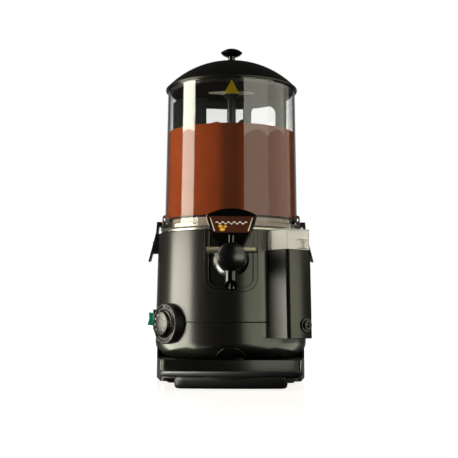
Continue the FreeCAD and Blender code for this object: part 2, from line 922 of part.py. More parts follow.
def switch_rocker():
    """Rocker with a slightly hollow face, at rest with its upper end out."""
    face = rocker_pin_x() - rocker_proud
    root = rocker_pin_x() + rocker_root
    y = switch_y - rocker_half_depth
    top = switch_height + rocker_half_height
    low = switch_height - rocker_half_height
    shoulder = rocker_pin_x() - rocker_shoulder
    rocker = slab([vec(root, y, switch_height + rocker_root_half_height), vec(shoulder, y, top),
                   vec(face, y, top), vec(face + rocker_dish, y, switch_height), vec(face, y, low),
                   vec(shoulder, y, low), vec(root, y, switch_height - rocker_root_half_height)],
                  vec(0, 2 * rocker_half_depth, 0))
    rocker = rocker.makeFillet(rocker_edge_round, level_side_edges(rocker, face))
    rocker = rocker.cut(rod(rocker_pin_radius + running_gap, vec(rocker_pin_x(), 0, switch_height),
                            vec(rocker_pin_x(), far, switch_height)))
    rocker.rotate(vec(rocker_pin_x(), switch_y, switch_height), y_axis, rocker_tilt)
    return rocker


# Clips --------------------------------------------------------------------------------------------------

def clip_face_x(height):
    """Outer face of the clip's slanting plate."""
    share = (bracket_top - height) / (bracket_top - clip_tab_z)
    return clip_bend_x + (clip_tab_x - clip_bend_x) * share


def clip_bar(radius, reach):
    """Round bar on the right clip's pivot, to both sides of its middle."""
    return rod(radius, vec(clip_pivot_x, -reach, clip_pivot_z), vec(clip_pivot_x, reach, clip_pivot_z))


def clip_bracket():
    """Bracket on the body's right side: a foot plate with two ears that carry the clip's pin."""
    ear_inner = clip_width / 2 + push_gap
    ear_outer = ear_inner + bracket_ear
    low_x = body_side(bracket_bottom)
    top_x = body_side(body_top)
    outline = [vec(low_x, -ear_outer, bracket_bottom),
               vec(clip_face_x(bracket_bottom) - overlap, -ear_outer, bracket_bottom),
               vec(clip_bend_x, -ear_outer, bracket_top - bracket_bevel),
               vec(top_x + push_gap, -ear_outer, bracket_top),
               vec(top_x + push_gap, -ear_outer, body_top)]
    solid = slab(outline, vec(0, 2 * ear_outer, 0))
    foot_x = low_x + bracket_foot
    room = [vec(foot_x, -ear_inner, 0), vec(far, -ear_inner, 0), vec(far, -ear_inner, far),
            vec(0, -ear_inner, far), vec(0, -ear_inner, bracket_foot_top),
            vec(foot_x, -ear_inner, bracket_foot_top)]
    pin_hole = clip_bar(clip_pin_radius, far)
    return solid.cut(slab(room, vec(0, 2 * ear_inner, 0))).cut(pin_hole).removeSplitter()


def clip_brackets():
    right = clip_bracket()
    return Part.Compound([right, mirrored(right)])


def clip_pins():
    right = clip_bar(clip_pin_radius, clip_width / 2 + push_gap + bracket_ear)
    return Part.Compound([right, mirrored(right)])


def clip_lever():
    """Right clip: a hook over the tank's flange, a plate down to the pin, and a tab that flares out."""
    y = -clip_width / 2
    hook_low = tank_flange_top + push_gap
    hook_top = hook_low + clip_hook_height
    bevel = clip_hook_bevel
    outline = [vec(clip_hook_tip_x, y, hook_low), vec(clip_hook_tip_x, y, hook_top - bevel),
               vec(clip_hook_tip_x + bevel, y, hook_top), vec(clip_hook_x - bevel / 2, y, hook_top),
               vec(clip_hook_x, y, hook_top - bevel / 2), vec(clip_bend_x, y, bracket_top),
               vec(clip_tab_x, y, clip_tab_z), vec(clip_tab_x - clip_plate, y, clip_tab_z + bevel / 2),
               vec(clip_bend_x - clip_plate, y, bracket_top), vec(clip_hook_x - clip_plate, y, hook_low)]
    lever = slab(outline, vec(0, clip_width, 0))
    lever = lever.fuse(clip_bar(clip_pin_radius + clip_boss_wall, clip_width / 2))
    return lever.cut(clip_bar(clip_pin_radius + running_gap, far)).removeSplitter()


def clip_lever_right():
    return clip_lever()


def clip_lever_left():
    return mirrored(clip_lever())


# Tank ---------------------------------------------------------------------------------------------------

def tank_outer_radius(height):
    share = (height - tank_bottom) / (tank_top - tank_bottom)
    return tank_foot_radius + (tank_rim_radius - tank_foot_radius) * share


def tank():
    """Clear tank: drafted wall, clamped flange, thick collar and two lifting lugs."""
    collar_top = tank_bottom + tank_collar_height
    floor_top = collar_top + tank_floor_fall
    shape = turned([(tank_collar_bore, tank_bottom), (tank_flange_radius, tank_bottom),
                    (tank_flange_radius, tank_flange_top - tank_flange_bevel),
                    (tank_flange_radius - tank_flange_bevel, tank_flange_top),
                    (tank_outer_radius(tank_flange_top), tank_flange_top), (tank_rim_radius, tank_top),
                    (tank_rim_radius - tank_wall, tank_top),
                    (tank_outer_radius(floor_top) - tank_wall, floor_top), (tank_collar_bore, collar_top)])
    inner = lug_radius - lug_thickness
    lug = block((-lug_length / 2, lug_length / 2), (-lug_radius, -inner),
                (tank_flange_top - overlap, tank_flange_top + lug_height))
    corners = [edge for edge in level_edges(lug, tank_flange_top + lug_height)
               if edge.BoundBox.XLength < lug_length / 2]
    lug = lug.makeFillet(lug_round, corners)
    hole_height = tank_flange_top + lug_height / 2
    lug = lug.cut(rod(lug_hole_radius, vec(0, -far, hole_height), vec(0, 0, hole_height)))
    lug = lug.cut(rod(tank_outer_radius(tank_bottom) - overlap, vec(0, 0, tank_bottom), vec(0, 0, tank_top)))
    for facing in (-lug_facing, lug_facing):
        shape = shape.fuse(placed(lug, facing))
    return shape.removeSplitter()


def tank_marker():
    """Plain triangular sticker on the tank's front."""
    top = marker_bottom + marker_height
    outline = slab([vec(-marker_width / 2, -far, marker_bottom), vec(marker_width / 2, -far, marker_bottom),
                    vec(0, -far, top)], vec(0, far, 0))
    low = marker_bottom - overlap
    high = top + overlap
    skin = turned([(tank_outer_radius(low), low), (tank_outer_radius(low) + marker_thickness, low),
                   (tank_outer_radius(high) + marker_thickness, high), (tank_outer_radius(high), high)])
    return outline.common(skin)


# Vessel, bath and heating -------------------------------------------------------------------------------

def vessel_gasket():
    return tube(vessel_flange_radius - gasket_inset, gasket_inner_radius, gasket_bottom, tank_bottom)


def product_vessel():
    """Stainless vessel under the tank, with the outlet pipe that feeds the tap."""
    top = gasket_bottom
    low = vessel_floor
    vessel = turned([(tube_radius + running_gap, low), (vessel_bore + sheet, low),
                     (vessel_bore + sheet, top - vessel_flange), (vessel_flange_radius, top - vessel_flange),
                     (vessel_flange_radius, top), (vessel_bore, top), (vessel_bore, low + sheet),
                     (tube_radius + running_gap, low + sheet)])
    pipe = Part.makeCylinder(outlet_bore + sheet, outlet_reach)
    hole = Part.makeCylinder(outlet_bore, far)
    inside = rod(vessel_bore + sheet / 2, vec(0, 0, low), vec(0, 0, top))
    vessel = vessel.fuse(outward(pipe, tap_height).cut(inside))
    return vessel.cut(outward(hole, tap_height)).removeSplitter()


def bath_vessel():
    """Water bath round the vessel, hung from the body's deck."""
    top = gasket_bottom - vessel_flange
    low = bath_floor
    inner = bath_radius - sheet
    bath = turned([(tube_radius + running_gap, low), (bath_radius, low), (bath_radius, body_top),
                   (vessel_flange_radius, body_top), (vessel_flange_radius, top), (inner, top),
                   (inner, low + sheet), (tube_radius + running_gap, low + sheet)])
    bath = bath.cut(outward(Part.makeCylinder(outlet_bore + sheet + running_gap, far), tap_height))
    bath = bath.cut(outward(Part.makeCylinder(level_pipe_radius + running_gap, far), level_pipe_height,
                            level_facing))
    for x in (-element_leg_x, element_leg_x):
        bath = bath.cut(rod(element_leg_radius + running_gap, vec(x, element_leg_y(), low),
                            vec(x, element_leg_y(), low + sheet)))
    return bath.removeSplitter()


def element_leg_y():
    return math.sqrt(element_ring_radius ** 2 - element_leg_x ** 2)


def heating_element():
    """Ring-shaped immersion heater with two legs through the bath's floor."""
    ring = Part.makeTorus(element_ring_radius, element_radius, vec(0, 0, element_height))
    for x in (-element_leg_x, element_leg_x):
        ring = ring.fuse(rod(element_leg_radius, vec(x, element_leg_y(), element_leg_bottom),
                             vec(x, element_leg_y(), element_height)))
    return ring.removeSplitter()


def overheat_cutout():
    """Safety thermostat against the bath's underside."""
    top = bath_floor
    neck = cutout_radius - cutout_flange
    can = turned([(0, top - cutout_depth), (neck, top - cutout_depth), (neck, top - cutout_flange),
                  (cutout_radius, top - cutout_flange), (cutout_radius, top), (0, top)])
    return moved(can, 0, -cutout_reach, 0)


def centre_tube():
    """Tube through bath and vessel that keeps the drive shaft out of the drink."""
    return tube(tube_radius, tube_bore, tube_bottom, tube_top)


def shaft_bushes():
    low = tube(tube_bore, shaft_radius + running_gap, tube_bottom, tube_bottom + bush_height)
    high = tube(tube_bore, shaft_radius + running_gap, tube_top - bush_height, tube_top)
    return Part.Compound([low, high])


# Drive --------------------------------------------------------------------------------------------------

def gear_screw_places():
    return [(x * gear_screw_x, y * gear_screw_y) for x in (-1, 1) for y in (-1, 1)]


def motor_bracket():
    """Bent steel bracket that stands on the deck and hangs the gearbox under its top."""
    plate_top = bracket_plate_bottom + bracket_sheet
    span = bracket_half_span
    depth = (-bracket_half_depth, bracket_half_depth)
    bracket = block((-span, span), depth, (bracket_plate_bottom, plate_top))
    for side in (-1, 1):
        leg = sorted((side * span, side * (span - bracket_sheet)))
        tab = sorted((side * (span - bracket_sheet), side * (span + bracket_tab)))
        bracket = bracket.fuse(block(leg, depth, (base_height, plate_top)))
        bracket = bracket.fuse(block(tab, depth, (base_height, base_height + bracket_sheet)))
    bracket = bracket.cut(rod(shaft_radius + push_gap, vec(0, 0, base_height), vec(0, 0, plate_top)))
    for x, y in gear_screw_places():
        bracket = bracket.cut(rod(screw_radius + running_gap, vec(x, y, bracket_plate_bottom),
                                  vec(x, y, plate_top)))
    return bracket.removeSplitter()


def gearbox():
    """Gear housing with a bore for the shaft and threaded holes for its screws."""
    top = bracket_plate_bottom
    box = block((-gearbox_half_width, gearbox_half_width), (-gearbox_half_depth, gearbox_half_depth),
                (top - gearbox_height, top))
    box = box.makeFillet(gearbox_round, upright_edges(box))
    box = box.cut(rod(shaft_radius + running_gap, vec(0, 0, top - shaft_socket - push_gap), vec(0, 0, top)))
    for x, y in gear_screw_places():
        box = box.cut(rod(screw_radius + running_gap, vec(x, y, top - screw_length), vec(x, y, top)))
    return box


def gearbox_screws():
    screws = []
    for x, y in gear_screw_places():
        head_low = bracket_plate_bottom + bracket_sheet
        shank = rod(screw_radius, vec(x, y, head_low - screw_length), vec(x, y, head_low))
        head = rod(screw_head_radius, vec(x, y, head_low), vec(x, y, head_low + screw_head_height))
        screws.append(shank.fuse(head).removeSplitter())
    return Part.Compound(screws)


def motor_can():
    top = bracket_plate_bottom - gearbox_height
    can = rod(motor_radius, vec(0, 0, motor_bottom), vec(0, 0, top))
    return can.makeFillet(motor_round, level_edges(can, motor_bottom))


def drive_shaft():
    return rod(shaft_radius, vec(0, 0, bracket_plate_bottom - shaft_socket), vec(0, 0, shaft_top))


def shaft_coupling():
    return tube(coupling_radius, shaft_radius, coupling_bottom, coupling_top)


# Stirrer ------------------------------------------------------------------------------------------------

def stirrer_hub():
    """Long sleeve over the centre tube, flared at its top into a cup with a floor on the shaft."""
    shaft_hole = shaft_radius + running_gap
    cup_floor = cone_bottom + hub_cap_thickness
    bore_top = cone_bottom - hub_cap_thickness
    return turned([(hub_bore, hub_bottom), (hub_radius, hub_bottom), (hub_radius, cone_bottom),
                   (cone_radius, cone_top), (cone_radius - cone_wall, cone_top), (hub_radius, cup_floor),
                   (shaft_hole, cup_floor), (shaft_hole, bore_top), (hub_bore, bore_top)])


def stirrer_wing_nut():
    """Nut that holds the stirrer on its shaft, with two tapering wings."""
    low = cone_bottom + hub_cap_thickness
    nut = tube(nut_radius, shaft_radius, low, low + nut_height)
    wing_low = cone_top + push_gap
    middle = wing_low + wing_root_height / 2
    half = wing_thickness / 2
    for side in (-1, 1):
        root = side * (shaft_radius + overlap)
        tip = side * wing_span
        wing = slab([vec(root, -half, wing_low), vec(tip, -half, middle - wing_tip_height / 2),
                     vec(tip, -half, middle + wing_tip_height / 2),
                     vec(root, -half, wing_low + wing_root_height)],
                    vec(0, wing_thickness, 0))
        nut = nut.fuse(wing)
    return nut.removeSplitter()


def blade(corners):
    """Upright blade in the XZ plane."""
    return slab([vec(x, -blade_thickness / 2, z) for x, z in corners], vec(0, blade_thickness, 0))


def stirrer_arm(side, end, height):
    """Flat bar from the hub out to a blade."""
    start = side * (hub_radius - overlap)
    low = height - arm_height
    return blade([(start, low), (end, low), (end, height), (start, height)])


def hub_core():
    return rod(hub_radius, vec(0, 0, hub_bottom), vec(0, 0, cone_bottom))


def stirrer_solid_wing():
    """Plain scraper blade on the left, carried by two arms."""
    wing = blade([(-solid_blade_reach, blade_bottom), (-solid_blade_inner, blade_bottom),
                  (-solid_blade_inner, blade_top), (-solid_blade_reach + solid_blade_bevel, blade_top),
                  (-solid_blade_reach, blade_top - solid_blade_bevel)])
    for height in (arm_top_height, blade_bottom + arm_height):
        wing = wing.fuse(stirrer_arm(-1, -solid_blade_inner - overlap, height))
    return wing.cut(hub_core()).removeSplitter()


def lobe(x, radius):
    """Round plate in the blades' plane."""
    half = blade_thickness / 2
    return rod(radius, vec(x, -half, lobe_height), vec(x, half, lobe_height))


def stirrer_open_wing():
    """Framed blade on the right, with a rounded window and lobes that break the flow."""
    wing = blade([(open_blade_inner, blade_bottom), (open_blade_reach, blade_bottom),
                  (open_blade_reach, blade_top), (open_blade_inner, blade_top)])
    window = block((window_inner, window_outer), (-blade_thickness, blade_thickness),
                   (window_bottom, window_top))
    corners = [edge for edge in window.Edges if edge.BoundBox.YLength > blade_thickness]
    wing = wing.cut(window.makeFillet(window_round, corners))
    wing = wing.fuse(lobe(lobe_x, lobe_radius).common(block((0, open_blade_reach), (-far, far), (0, far))))
    hub_room = rod(hub_radius + overlap, origin, vec(0, 0, blade_top))
    wing = wing.fuse(lobe(open_blade_inner, small_lobe_radius).cut(hub_room))
    for height in (arm_top_height, blade_bottom + arm_height):
        wing = wing.fuse(stirrer_arm(1, open_blade_inner + overlap, height))
    return wing.cut(hub_core()).removeSplitter()


def stirrer_foot():
    """Low paddles that sweep the vessel's floor."""
    paddle = block((hub_radius - overlap, foot_blade_reach), (-blade_thickness / 2, blade_thickness / 2),
                   (hub_bottom, hub_bottom + foot_blade_height))
    foot = tube(hub_radius + foot_collar_wall, hub_radius, hub_bottom, hub_bottom + foot_blade_height)
    for turn in (foot_blade_sweep, foot_blade_sweep + 180):
        foot = foot.fuse(placed(paddle, turn))
    return foot.cut(hub_core()).removeSplitter()


# Lid ----------------------------------------------------------------------------------------------------

def dome(radius, edge_height, apex):
    """Cap of a sphere over a flat round face."""
    rise = apex - edge_height
    ball = (radius ** 2 + rise ** 2) / (2 * rise)
    half_angle = math.asin(radius / ball) / 2
    middle = vec(ball * math.sin(half_angle), 0, apex - ball + ball * math.cos(half_angle))
    start = vec(0, 0, edge_height)
    edge = vec(radius, 0, edge_height)
    top = vec(0, 0, apex)
    return spun([Part.makeLine(start, edge), arc(edge, middle, top), Part.makeLine(top, start)])


def lid_dome():
    """Domed lid with a thin rim on the tank's edge and a skirt inside it."""
    rim_low = tank_top + push_gap
    rim_high = rim_low + lid_rim_height
    rim = rod(lid_radius, vec(0, 0, rim_low), vec(0, 0, rim_high))
    shell = dome(lid_radius, rim_high, lid_apex).fuse(rim)
    inner_radius = lid_skirt_radius - lid_skirt_wall
    shell = shell.cut(dome(inner_radius + lid_shoulder, rim_high + lid_wall / 2, lid_apex - lid_wall))
    shell = shell.cut(rod(inner_radius, vec(0, 0, rim_low), vec(0, 0, rim_high + lid_wall)))
    skirt = tube(lid_skirt_radius, inner_radius, lid_skirt_bottom, rim_low + overlap)
    shell = shell.fuse(skirt).cut(rod(screw_radius + running_gap, vec(0, 0, rim_high), vec(0, 0, lid_apex)))
    return shell.removeSplitter()


def lid_knob():
    """Lens-shaped knob on a short stem."""
    low = lid_apex
    disc = low + lid_knob_stem_height
    rim = disc + lid_knob_edge
    hole = screw_radius + running_gap
    hole_top = disc + lid_knob_edge / 2
    edge = vec(lid_knob_radius, 0, rim)
    hip = vec(lid_knob_hip_radius, 0, disc + lid_knob_hip_height)
    points = [vec(0, 0, hole_top), vec(hole, 0, hole_top), vec(hole, 0, low), vec(lid_knob_stem, 0, low),
              vec(lid_knob_stem, 0, disc)]
    edges = [Part.makeLine(start, end) for start, end in zip(points, points[1:])]
    edges += [arc(points[-1], hip, edge), Part.makeLine(edge, vec(0, 0, rim)),
              Part.makeLine(vec(0, 0, rim), points[0])]
    crown = dome(lid_knob_radius, rim, disc + lid_knob_height)
    return spun(edges).fuse(crown).removeSplitter()


def lid_knob_screw():
    under = lid_apex - lid_wall - 2 * running_gap
    shank = rod(screw_radius, vec(0, 0, under), vec(0, 0, under + screw_length))
    head = rod(screw_head_radius, vec(0, 0, under - screw_head_height), vec(0, 0, under))
    return shank.fuse(head).removeSplitter()


# Tap ----------------------------------------------------------------------------------------------------

def pivot_bar(radius, reach):
    """Round bar on the handle's pivot, to both sides of its middle."""
    return rod(radius, vec(-reach, -pivot_reach, pivot_height), vec(reach, -pivot_reach, pivot_height))


def tap_body():
    """Tap barrel with its spigot, collar, slanting spout and the lug for the handle's pin."""
    body = turned([(0, spigot_end_reach), (spigot_radius, spigot_end_reach),
                   (spigot_radius, panel_boss_reach), (collar_radius, panel_boss_reach),
                   (collar_radius, collar_reach), (barrel_radius, collar_reach),
                   (barrel_radius, barrel_reach - barrel_bevel),
                   (barrel_radius - barrel_bevel, barrel_reach),
                   (neck_radius, barrel_reach), (neck_radius, neck_reach), (0, neck_reach)])
    body = outward(body, tap_height)
    body = body.fuse(rod(spout_radius, vec(0, -spout_reach, spout_tip), vec(0, -spout_reach, tap_height)))
    lug = block((-lug_half_width, lug_half_width), (-neck_reach, pivot_boss_radius - pivot_reach),
                (tap_height, pivot_height))
    body = body.fuse(lug).fuse(pivot_bar(pivot_boss_radius, lug_half_width))
    bore_length = neck_reach - guide_length - spigot_end_reach
    bore = Part.makeCylinder(tap_bore, bore_length, vec(0, 0, spigot_end_reach))
    guide = Part.makeCylinder(rod_radius + running_gap, far / 2)
    body = body.cut(outward(bore, tap_height)).cut(outward(guide, tap_height))
    body = body.cut(rod(spout_bore, vec(0, -spout_reach, 0), vec(0, -spout_reach, tap_height)))
    side = -far / 2
    front = -spout_reach - spout_radius
    back = -spout_reach + spout_radius
    mouth = slab([vec(side, front, spout_lip), vec(side, back, spout_tip), vec(side, back, 0),
                  vec(side, front - overlap, 0), vec(side, front - overlap, spout_lip)], vec(far, 0, 0))
    return body.cut(mouth).cut(pivot_bar(pivot_pin_radius, far)).removeSplitter()


def tap_seal():
    """Seal between the tap's spigot and the vessel's outlet."""
    ring = turned([(spigot_radius, seal_reach), (outlet_bore, seal_reach),
                   (outlet_bore, seal_reach + seal_width), (spigot_radius, seal_reach + seal_width)])
    return outward(ring, tap_height)


def tap_ring_nut():
    """Ring nut that clamps the tap's collar to the panel's boss."""
    inner = panel_boss_radius + push_gap
    front_bore = barrel_radius + push_gap
    step = collar_reach + push_gap
    nut = turned([(inner, ring_nut_rear), (ring_nut_radius, ring_nut_rear),
                  (ring_nut_radius, ring_nut_reach - ring_nut_round),
                  (ring_nut_radius - ring_nut_round, ring_nut_reach), (front_bore, ring_nut_reach),
                  (front_bore, step), (inner, step)])
    return outward(nut, tap_height)


def tap_piston():
    """Valve rod: a button in front that the handle pushes, and a valve disc on the tap's inner end."""
    tip = rod_tip_reach
    neck = tip - rod_button
    seat = valve_seat_reach
    profile = [(0, tip), (rod_button_radius, tip), (rod_button_radius, neck), (rod_radius, neck),
               (rod_radius, seat), (valve_radius, seat), (valve_radius, seat - valve_thickness),
               (0, seat - valve_thickness)]
    return outward(turned(profile), tap_height)


def handle_pivot_pin():
    """Pin that the handle and its springs turn on, with a head at each end."""
    heads = pivot_bar(spring_radius, pivot_pin_half_length)
    heads = heads.cut(pivot_bar(spring_radius + overlap, spring_outer + push_gap))
    return heads.fuse(pivot_bar(pivot_pin_radius, pivot_pin_half_length)).removeSplitter()


def handle_springs():
    """Closely wound springs on the pin, each with a leg that stands up behind the handle."""
    turns = int((spring_outer - spring_inner) / spring_wire)
    profile = [vec(spring_inner, 0, pivot_pin_radius + running_gap)]
    for turn in range(turns):
        start = spring_inner + turn * spring_wire
        profile.append(vec(start, 0, spring_radius - spring_wire / 4))
        profile.append(vec(start + spring_wire / 2, 0, spring_radius))
    end = spring_inner + turns * spring_wire
    profile.append(vec(end, 0, spring_radius - spring_wire / 4))
    profile.append(vec(end, 0, pivot_pin_radius + running_gap))
    coil = Part.Face(Part.makePolygon(profile + profile[:1])).revolve(origin, x_axis, 360)
    coil = moved(coil, 0, -pivot_reach, pivot_height)
    leg_y = -pivot_reach + spring_radius - spring_wire
    leg = rod(spring_leg_radius, vec(spring_leg_x, leg_y, pivot_height),
              vec(spring_leg_x, leg_y, spring_leg_top))
    right = coil.fuse(leg.cut(pivot_bar(pivot_pin_radius + running_gap, far))).removeSplitter()
    return Part.Compound([right, mirrored(right)])


def shield_blank():
    """Shield of the handle: an arched top, bowed sides that run in to a narrow foot."""
    y = -shield_front_reach
    corner_left = vec(-shield_half_width, y, shield_corner)
    corner_right = vec(shield_half_width, y, shield_corner)
    foot_left = vec(-shield_foot_half_width, y, shield_foot)
    foot_right = vec(shield_foot_half_width, y, shield_foot)
    outline = Part.Wire([
        arc(corner_left, vec(0, y, shield_apex), corner_right),
        arc(corner_right, vec(shield_waist_half_width, y, shield_waist), foot_right),
        Part.makeLine(foot_right, foot_left),
        arc(foot_left, vec(-shield_waist_half_width, y, shield_waist), corner_left),
    ])
    solid = Part.Face(outline).extrude(vec(0, shield_thickness, 0))
    corners = [edge for edge in solid.Edges if edge.BoundBox.YLength > shield_thickness / 2
               and edge.BoundBox.ZMin > shield_waist]
    solid = solid.makeFillet(shield_round, corners)
    rims = [edge for edge in solid.Edges if edge.BoundBox.YMax < y + same]
    return solid.makeFillet(shield_edge_round, rims)


def fork_arm():
    """One arm of the fork, from the ball to the pin."""
    pin = vec(fork_inner, -pivot_reach, pivot_height)
    ball = vec(fork_inner, -ball_reach, ball_height)
    along = ball.sub(pin).normalize()
    across = vec(0, -along.z, along.y) * fork_half_depth
    width = vec(fork_outer - fork_inner, 0, 0)
    arm = slab([pin.add(across), ball.add(across), ball.sub(across), pin.sub(across)], width)
    return arm.fuse(rod(fork_half_depth, pin, pin.add(width)))


def tap_handle():
    """Handle in one piece: ball, ribbed shield above it and the fork that turns on the pin."""
    handle = Part.makeSphere(ball_radius, vec(0, -ball_reach, ball_height)).fuse(shield_blank())
    rib_front = -shield_front_reach - rib_proud
    rib = block((-rib_half_width, rib_half_width), (rib_front, overlap - shield_front_reach),
                (ball_height, rib_top))
    rib_edges = [edge for edge in rib.Edges if edge.BoundBox.YMax < rib_front + same
                 and edge.BoundBox.ZMax > ball_height + overlap]
    handle = handle.fuse(rib.makeFillet(rib_round, rib_edges))
    for arm in (fork_arm(), mirrored(fork_arm())):
        handle = handle.fuse(arm)
    return handle.cut(pivot_bar(pivot_pin_radius + running_gap, far)).removeSplitter()


def handle_plate():
    """Thin trapezoid plate on the shield."""
    y = -shield_front_reach
    low = plate_bottom_half_width
    high = plate_top_half_width
    corners = [vec(-low, y, plate_bottom), vec(low, y, plate_bottom), vec(high, y, plate_top),
               vec(-high, y, plate_top)]
    return slab(corners, vec(0, -plate_thickness, 0))


# Drip tray ----------------------------------------------------------------------------------------------

def tray_block(inset, low, high):
    """Prism over the tray's plan: sides that run in towards a bowed front."""
    rear = -base_front - push_gap - inset
    lean = (tray_rear_half_width - tray_front_half_width) / (tray_front_corner - base_front)
    front = tray_reach + tray_bow_radius
    front_half = tray_rear_half_width - inset - lean * (front - base_front)
    plan = [(-tray_rear_half_width + inset, rear), (tray_rear_half_width - inset, rear),
            (front_half, -front), (-front_half, -front)]
    bow_centre = vec(0, tray_bow_radius - tray_reach, low)
    bow = Part.makeCylinder(tray_bow_radius - inset, high - low, bow_centre)
    solid = prism(plan, low, high).common(bow)
    corners = steep_edges(solid, lambda x, y: y < -base_front - tray_corner_round)
    return solid.makeFillet(tray_corner_round - inset, corners)


def basin_block(inset, low, high, rear):
    """Prism over the basin's plan: straight sides and a rounded nose."""
    half = basin_half_width - inset
    centre = vec(0, basin_bow_radius - basin_reach, low)
    nose = Part.makeCylinder(basin_bow_radius - inset, high - low, centre)
    body = block((-half, half), (centre.y, rear), (low, high))
    nose = nose.common(block((-half, half), (-far, centre.y), (low, high)))
    return nose.fuse(body).removeSplitter()


def drip_tray():
    """Tray with a flange all round, a basin, and a hollow underside that fits over the shelf."""
    rear = -base_front - push_gap
    flange_low = tray_top - tray_flange
    skirt = basin_block(0, tray_skirt_bottom, flange_low + overlap, rear)
    front_edges = [edge for edge in level_edges(skirt, tray_skirt_bottom)
                   if edge.CenterOfMass.y < rear - overlap and edge.Length > basin_wall]
    skirt = skirt.makeFillet(basin_bottom_round, front_edges)
    tray = tray_block(0, flange_low, tray_top).fuse(skirt)
    floor_low = basin_floor
    under = basin_block(basin_wall + basin_bottom_round / 2, 0, floor_low, far)
    tray = tray.cut(under)
    tray = tray.cut(basin_block(basin_wall, floor_low + basin_wall, tray_top + overlap, rear - basin_wall))
    seat = tray_block(basin_rim, tray_top - grille_thickness - push_gap, tray_top + overlap)
    tray = tray.cut(seat)
    shelf_top = foot_height + base_wall
    for offset in (-rib_spacing, 0, rib_spacing):
        half = tray_rib_half_width
        tray = tray.fuse(block((offset - half, offset + half), (-shelf_reach + shelf_round, rear),
                               (shelf_top + push_gap, floor_low)))
    return tray.removeSplitter()


def drip_grille():
    """Slotted plate that lies in the tray's seat."""
    top = tray_top - push_gap
    plate = tray_block(basin_rim + push_gap, top - grille_thickness, top)
    half = basin_half_width - grille_margin
    first = -base_front - basin_rim - grille_margin
    count = int((basin_reach - base_front - basin_rim - 2 * grille_margin) / grille_pitch)
    for row in range(count):
        y = first - row * grille_pitch
        ahead = max(0.0, grille_slot - y - basin_reach + basin_bow_radius)
        reach = min(half, math.sqrt((basin_bow_radius - grille_margin) ** 2 - ahead ** 2))
        slot = block((-reach, reach), (y - grille_slot, y), (0, tray_top))
        plate = plate.cut(slot.makeFillet(grille_slot / 2 - running_gap, upright_edges(slot)))
    for x in (-grille_pitch, grille_pitch):
        plate = plate.fuse(block((x - grille_bar_half_width, x + grille_bar_half_width),
                                 (first - count * grille_pitch, first), (top - grille_thickness, top)))
    return plate.removeSplitter()


# Rear ---------------------------------------------------------------------------------------------------

def panel_screw_places():
    return [(side * (vent_half_width + vent_lap / 2), height) for side in (-1, 1)
            for height in (vent_bottom + vent_lap, vent_top - vent_lap)]


def rear_panel():
    """Vented plate that lies on the body's back."""
    low = vent_bottom - 2 * vent_lap
    high = vent_top + 2 * vent_lap
    skin = body_solid(-vent_sheet, low, high).cut(body_solid(0, low - overlap, high + overlap))
    half = vent_half_width + vent_lap
    frame = block((-half, half), (body_back / 2, far), (vent_bottom - vent_lap, vent_top + vent_lap))
    plate = skin.common(frame)
    count = int((vent_top - vent_bottom) / vent_pitch)
    for row in range(count):
        z = vent_bottom + (row + 0.5) * vent_pitch
        plate = plate.cut(block((-vent_slot_half_width, vent_slot_half_width), (0, far), (z, z + vent_slot)))
    for x, z in panel_screw_places():
        plate = plate.cut(rod(screw_radius + running_gap, vec(x, body_back / 2, z), vec(x, far, z)))
    return plate.removeSplitter()


def panel_screws():
    screws = []
    for x, z in panel_screw_places():
        face = body_back - body_draft * (z - body_bottom) + vent_sheet + push_gap / 2
        shank = rod(screw_radius, vec(x, face - screw_length, z), vec(x, face, z))
        head = rod(screw_head_radius, vec(x, face, z), vec(x, face + screw_head_height, z))
        screws.append(shank.fuse(head).removeSplitter())
    return Part.Compound(screws)


def rear_wall_y():
    """Outer face of the rear wall at the gland."""
    return body_back - body_draft * (gland_height - body_bottom)


def cable_gland():
    """Strain-relief gland for the supply cord, at the rear."""
    wall = rear_wall_y() + push_gap
    inside = wall - push_gap - body_wall - gland_nut_thickness - gland_thread_end
    gland = turned([(gland_bore, inside), (gland_thread_radius, inside), (gland_thread_radius, wall),
                    (gland_radius, wall), (gland_radius, wall + gland_flange),
                    (gland_tip_radius, gland_back),
                    (gland_bore, gland_back)])
    gland.rotate(origin, x_axis, -90)
    return moved(gland, gland_x, 0, gland_height)


def cable_gland_nut():
    wall = rear_wall_y() - body_wall - push_gap
    corners = []
    for angle in range(0, 360, 60):
        turn = math.radians(angle)
        corners.append(vec(gland_x + gland_nut_radius * math.cos(turn), wall - gland_nut_thickness,
                           gland_height + gland_nut_radius * math.sin(turn)))
    nut = slab(corners, vec(0, gland_nut_thickness, 0))
    return nut.cut(rod(gland_thread_radius + running_gap, vec(gland_x, 0, gland_height),
                       vec(gland_x, far, gland_height)))


def terminal_block():
    """Connection block on the body's floor."""
    low = body_bottom + body_wall
    half = terminal_length / 2
    strip = block((-half, half), (terminal_y - terminal_width / 2, terminal_y + terminal_width / 2),
                  (low, low + terminal_height))
    for row in (-1, 0, 1):
        x = row * terminal_pitch
        strip = strip.cut(rod(terminal_hole_radius, vec(x, terminal_y, low + terminal_height / 2),
                              vec(x, terminal_y, low + terminal_height)))
    return strip


